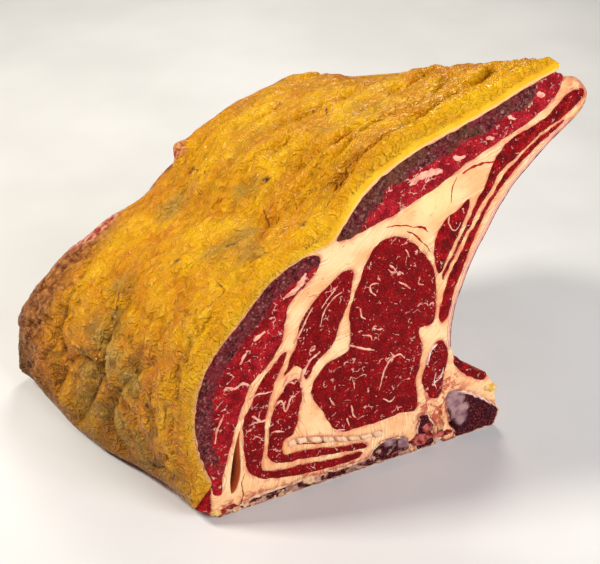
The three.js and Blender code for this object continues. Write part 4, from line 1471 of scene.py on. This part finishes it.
@dataclass
class Strips(Piece):
    """Thin lines of one tissue on the near cut, each a strip set into the meat.

    Attributes:
        lines: The lines, each as (width, points).
        proud: How far the strips stand out of what they lie in.
        in_fat: Whether they lie in fat and not in a muscle.
    """

    lines: Sequence[tuple[float, Sequence[Point]]] = ()
    proud: float = 0.3
    in_fat: bool = False

    def ground(self, x: float, z: float) -> float:
        """How far the muscle or the fat itself stands out of the cut at a place."""
        if self.in_fat:
            return 0.4 + 0.6 * wrinkle(x, -20.0, z, 12.0)
        return 0.7 + 0.5 * wrinkle(x, -50.0, z, 11.0)

    def strip(self, width: float, points: Sequence[Point]) -> bmesh.types.BMesh:
        """Models one strip, widest in its middle, with a rounded top.

        Args:
            width: Its greatest width.
            points: The points that its middle line goes through.

        Returns:
            The straight solid.
        """
        line = spline(points, 0.6, False)
        upper, lower = [], []
        for i, ((x, z), (nx, nz)) in enumerate(zip(line, side(line, False))):
            share = i / (len(line) - 1)
            half = 0.5 * width * math.sqrt(max(0.03, math.sin(math.pi * (0.08 + 0.86 * share))))
            half *= 1.0 + 0.9 * wrinkle(x, 3.0, z, 2.6)
            drift = 0.5 * wrinkle(x, 9.0, z, 4.0)
            upper.append((x + nx * (half + drift), z + nz * (half + drift)))
            lower.append((x - nx * (half - drift), z - nz * (half - drift)))
        strip = prism([*upper, *reversed(lower)], [2.0, 0.0, -self.proud])
        middle = tree_of(line)
        for vert in strip.verts:
            if vert.co.y > 1.0:
                continue
            top = vert.co.y < -1e-3
            vert.co.y -= self.ground(vert.co.x, vert.co.z)
            if top:
                centre = line[middle.find((vert.co.x, 0.0, vert.co.z))[1]]
                vert.co.x += 0.4 * (centre[0] - vert.co.x)
                vert.co.z += 0.4 * (centre[1] - vert.co.z)
        return strip

    def build(self) -> bpy.types.Object:
        """Models the strips."""
        return self.keep(joined(self.strip(width, points) for width, points in self.lines))


@dataclass
class Crumbs(Piece):
    """Crumbs of sawn bone and fat along the bottom of the near cut.

    Attributes:
        heaps: The heaps, each as (x, z, half width, number, size).
        seed: Seed of the scatter.
    """

    heaps: Sequence[tuple[float, float, float, int, float]] = ()
    seed: int = 7

    def build(self) -> bpy.types.Object:
        """Models the crumbs.

        Returns:
            Their object.
        """
        draw = random.Random(self.seed)
        bm = bmesh.new()
        for x, z, spread, count, size in self.heaps:
            for _ in range(count):
                big = size * draw.uniform(0.5, 1.2)
                shift = Vector((x + draw.uniform(-spread, spread), draw.uniform(-0.6, 2.5),
                                max(big * 0.7, z + draw.uniform(-1.6, 1.6))))
                squash = Vector((draw.uniform(0.9, 1.6), draw.uniform(0.6, 0.9), draw.uniform(0.6, 0.9)))
                for vert in bmesh.ops.create_icosphere(bm, subdivisions=3, radius=big)["verts"]:
                    bump = 1.0 + 0.5 * wrinkle(*(vert.co + shift * 3), big * 0.7)
                    vert.co = shift + vert.co * squash * bump
                    vert.co.z = max(0.0, vert.co.z)
        return self.keep(bm)


@dataclass
class Studio:
    """The pale floor, the soft lights and the camera at the photograph's angle.

    Attributes:
        turn: The camera's angle from straight in front, to the left, in degrees.
        rise: Its angle above the horizon, in degrees.
        lens: Its focal length, in millimetres.
        distance: Its distance from what it looks at, in metres.
        target: What it looks at, in metres.
        lit: What the lights face, in metres.
    """

    turn: float = -28.0
    rise: float = 30.0
    lens: float = 80.0
    distance: float = 0.93
    target: Vector = field(default_factory=lambda: Vector((112.1 - MIDDLE_X, 5.0, 83.4)) * MM)
    lit: Vector = field(default_factory=lambda: Vector((0.0, 0.0, 0.1)))

    @staticmethod
    def aimed(made: bpy.types.Object, spot: Vector, ahead: Vector) -> bpy.types.Object:
        """Puts a camera or light at a spot and turns it to face ahead."""
        made.location = spot
        made.rotation_mode = "QUATERNION"
        made.rotation_quaternion = ahead.to_track_quat("-Z", "Y")
        return made

    def camera(self) -> None:
        """Sets up the camera."""
        a, e = math.radians(self.turn), math.radians(self.rise)
        back = Vector((math.sin(a) * math.cos(e), -math.cos(a) * math.cos(e), math.sin(e)))
        data = bpy.data.cameras.new("camera")
        data.lens = self.lens
        data.sensor_width = 36.0
        spot = self.target + back * self.distance
        bpy.context.scene.camera = self.aimed(to_scene("camera", data), spot, -back)

    def light(self, name: str, spot: tuple, size: float, power: float, colour: str) -> None:
        """Adds a square soft light that faces the roast.

        Args:
            name: Its name.
            spot: Where it is, in metres.
            size: The length of its side, in metres.
            power: Its power, in watts.
            colour: Its colour, as a hex code.
        """
        data = bpy.data.lights.new(name, "AREA")
        data.size, data.energy = size, power
        data.color = linear(colour)[:3]
        self.aimed(to_scene(name, data), Vector(spot), self.lit - Vector(spot))

    def floor(self) -> None:
        """Adds the pale floor, a faintly mottled matt board."""
        bm = bmesh.new()
        bmesh.ops.create_grid(bm, x_segments=1, y_segments=1, size=4.0)
        mesh = mesh_of(bm, "floor")
        s = Shader("pale_matt_board")
        colour = s.add(Node.MIX, s.mottle(180.0, 3.0, 0.3, 0.7), "#cfcecb", "#d8d7d4")
        mesh.materials.append(s.close(colour, 0.7, s.add(Node.NOISE, s.at, per_mm(2.0)), 0.05))
        to_scene("floor", mesh)

    def build(self) -> None:
        """Sets up the whole studio."""
        self.floor()
        self.camera()
        self.light("key", (-0.8, 0.3, 0.95), 0.25, 15.5, "#fff8ee")
        self.light("fill", (0.3, -1.2, 0.75), 0.7, 19.0, "#f8f8ff")
        self.light("rim", (0.45, 0.9, 0.9), 0.4, 8.0, "#fffaf0")
        world = bpy.data.worlds.new("studio")
        world.use_nodes = True
        world.node_tree.nodes["Background"].inputs[0].default_value = linear("#e8ecf2")
        world.node_tree.nodes["Background"].inputs[1].default_value = 0.15
        bpy.context.scene.world = world
        bpy.context.scene.view_settings.view_transform = "Standard"


def muscles() -> list[Slab]:
    """The muscles and the sinew that run through the roast."""
    lean = "lean_meat"
    return [
        Slab("eye", Finish.EYE, lean, ("eye_muscle",), EYE),
        Slab("cap_upper", Finish.CAP, lean, ("cap_muscle_upper",), CAP_UPPER),
        Slab("cap_outer", Finish.CAP, lean, ("cap_muscle_outer",), CAP_OUTER),
        Slab("cap_inner", Finish.CAP, lean, ("cap_muscle_inner",), CAP_INNER),
        Slab("rib_meat_inner", Finish.RIB, lean, ("rib_muscle_inner",), RIB_MUSCLE_INNER),
        Slab("rib_meat_middle", Finish.RIB, lean, ("rib_muscle_middle",), RIB_MUSCLE_MIDDLE),
        Slab("rib_meat_outer", Finish.RIB, lean, ("rib_muscle_outer",), RIB_MUSCLE_OUTER),
        Slab("chine_meat", Finish.CAP, lean, ("chine_muscle",), CHINE_MUSCLE),
        Slab("strap_meat", Finish.RIB, lean, ("strap_muscle",), STRAP_MUSCLE),
        Slab("foot_meat", Finish.RIB, lean, ("foot_muscle",), FOOT_MUSCLE, ragged=0.6),
        Slab("blade", Finish.AGED, "aged_meat", ("blade_muscle",), BLADE, bark_mm=13.0),
        Slab("back", Finish.AGED_BACK, "aged_meat", ("back_muscle",), BACK, bark_mm=12.5),
        Slab("sinew", Finish.SINEW, "ligament", ("ligament",), LIGAMENT, pillow=1.2, ridges=8.6, pitch=0.8,
             uneven=0.4),
    ]


def spine_bones() -> list[Slab]:
    """The sawn bones of the spine, each as long as its CAD node."""
    shapes = {
        "chine_bone": (CHINE_BONE, ((168, 39, 8), (171, 31, 7), (175, 23, 7), (177, 15, 5)),
                       ((170, 10, 6.5, 7.0),)),
        "arch_bone": (ARCH_BONE, (), ((154, 13, 2.5, 2.0),)),
        "feather_bone": (FEATHER_BONE, ((133, 12, 6), (120, 16, 4)), ()),
    }
    made = []
    for kind, (outline, gristle, pits) in shapes.items():
        for i in range(1, 5):
            node = f"{kind}_{i}"
            start, end = (corner.y / MM + LENGTH / 2 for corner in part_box(node))
            marks = {"gristle": gristle, "pits": pits} if i == 1 else {}
            finish = Finish.FEATHER if kind == "feather_bone" else Finish.SPINE
            made.append(Slab(f"{node}_sawn", finish, "spine_bone", (node,), outline, start, end,
                             pitch=1.5, pillow=0.9, ragged=0.8, rows=16, **marks))
    return made


def main() -> None:
    """Builds the roast and its studio, and logs how many faces each piece has."""
    logging.basicConfig(level=logging.INFO, format="%(name)s %(message)s")
    meat = muscles()
    spine = spine_bones()
    ribs = [Rib(f"rib_{i + 1}_bone", Finish.RIB_BONE, "rib_bone", (f"rib_{i + 1}",),
                RIB_FIRST + i * RIB_PITCH) for i in range(4)]
    crumbs = ((-1.0, 4.0, 4.0, 6, 2.4), (12.0, 3.0, 7.0, 10, 2.2), (26.0, 5.0, 8.0, 6, 1.8),
              (44.0, 3.0, 9.0, 16, 2.3), (59.0, 5.0, 3.0, 6, 3.0), (160.0, 6.0, 2.0, 6, 2.2),
              (133.0, 6.0, 6.0, 4, 1.6))
    knobs = ((147.0, 8.5, 4.0, 8, 5.2), (151.0, 17.0, 2.5, 5, 3.6), (162.0, 6.0, 5.0, 6, 2.6),
             (3.0, 4.0, 5.0, 3, 2.6))
    scraps = ((199.0, 33.0, 2.2, 4, 3.6), (-6.0, 5.0, 3.0, 4, 2.6), (200.0, 24.0, 1.6, 3, 2.4))
    for piece in (
        *meat, *spine, *ribs,
        SeamFat("seam", Finish.SEAM_FAT, "seam_fat", ("seam_fat",), [*meat, *spine], ribs),
        FatCap("cap_fat_skin", Finish.CAP_FAT, "cap_fat", ("fat_cap",)),
        Strips("fat_branches", Finish.BRANCH, "seam_fat", (), BRANCHES),
        Strips("silver_skin_lines", Finish.WEB, "seam_fat", (), SILVER),
        Strips("blood_lines", Finish.BLOOD, "lean_meat", (), BLOOD, 0.15, True),
        Strips("dry_cracks", Finish.CRACK, "seam_fat", (), CRACKS, 0.1, True),
        Crumbs("bone_crumbs", Finish.CRUMB, "spine_bone", (), crumbs),
        Crumbs("knob_tissue", Finish.KNOB, "lean_meat", (), knobs, 11),
        Crumbs("yellow_scraps", Finish.YELLOW, "seam_fat", (), scraps, 23),
    ):
        piece.build()
    Studio().build()


if __name__ == "__main__":
    main()
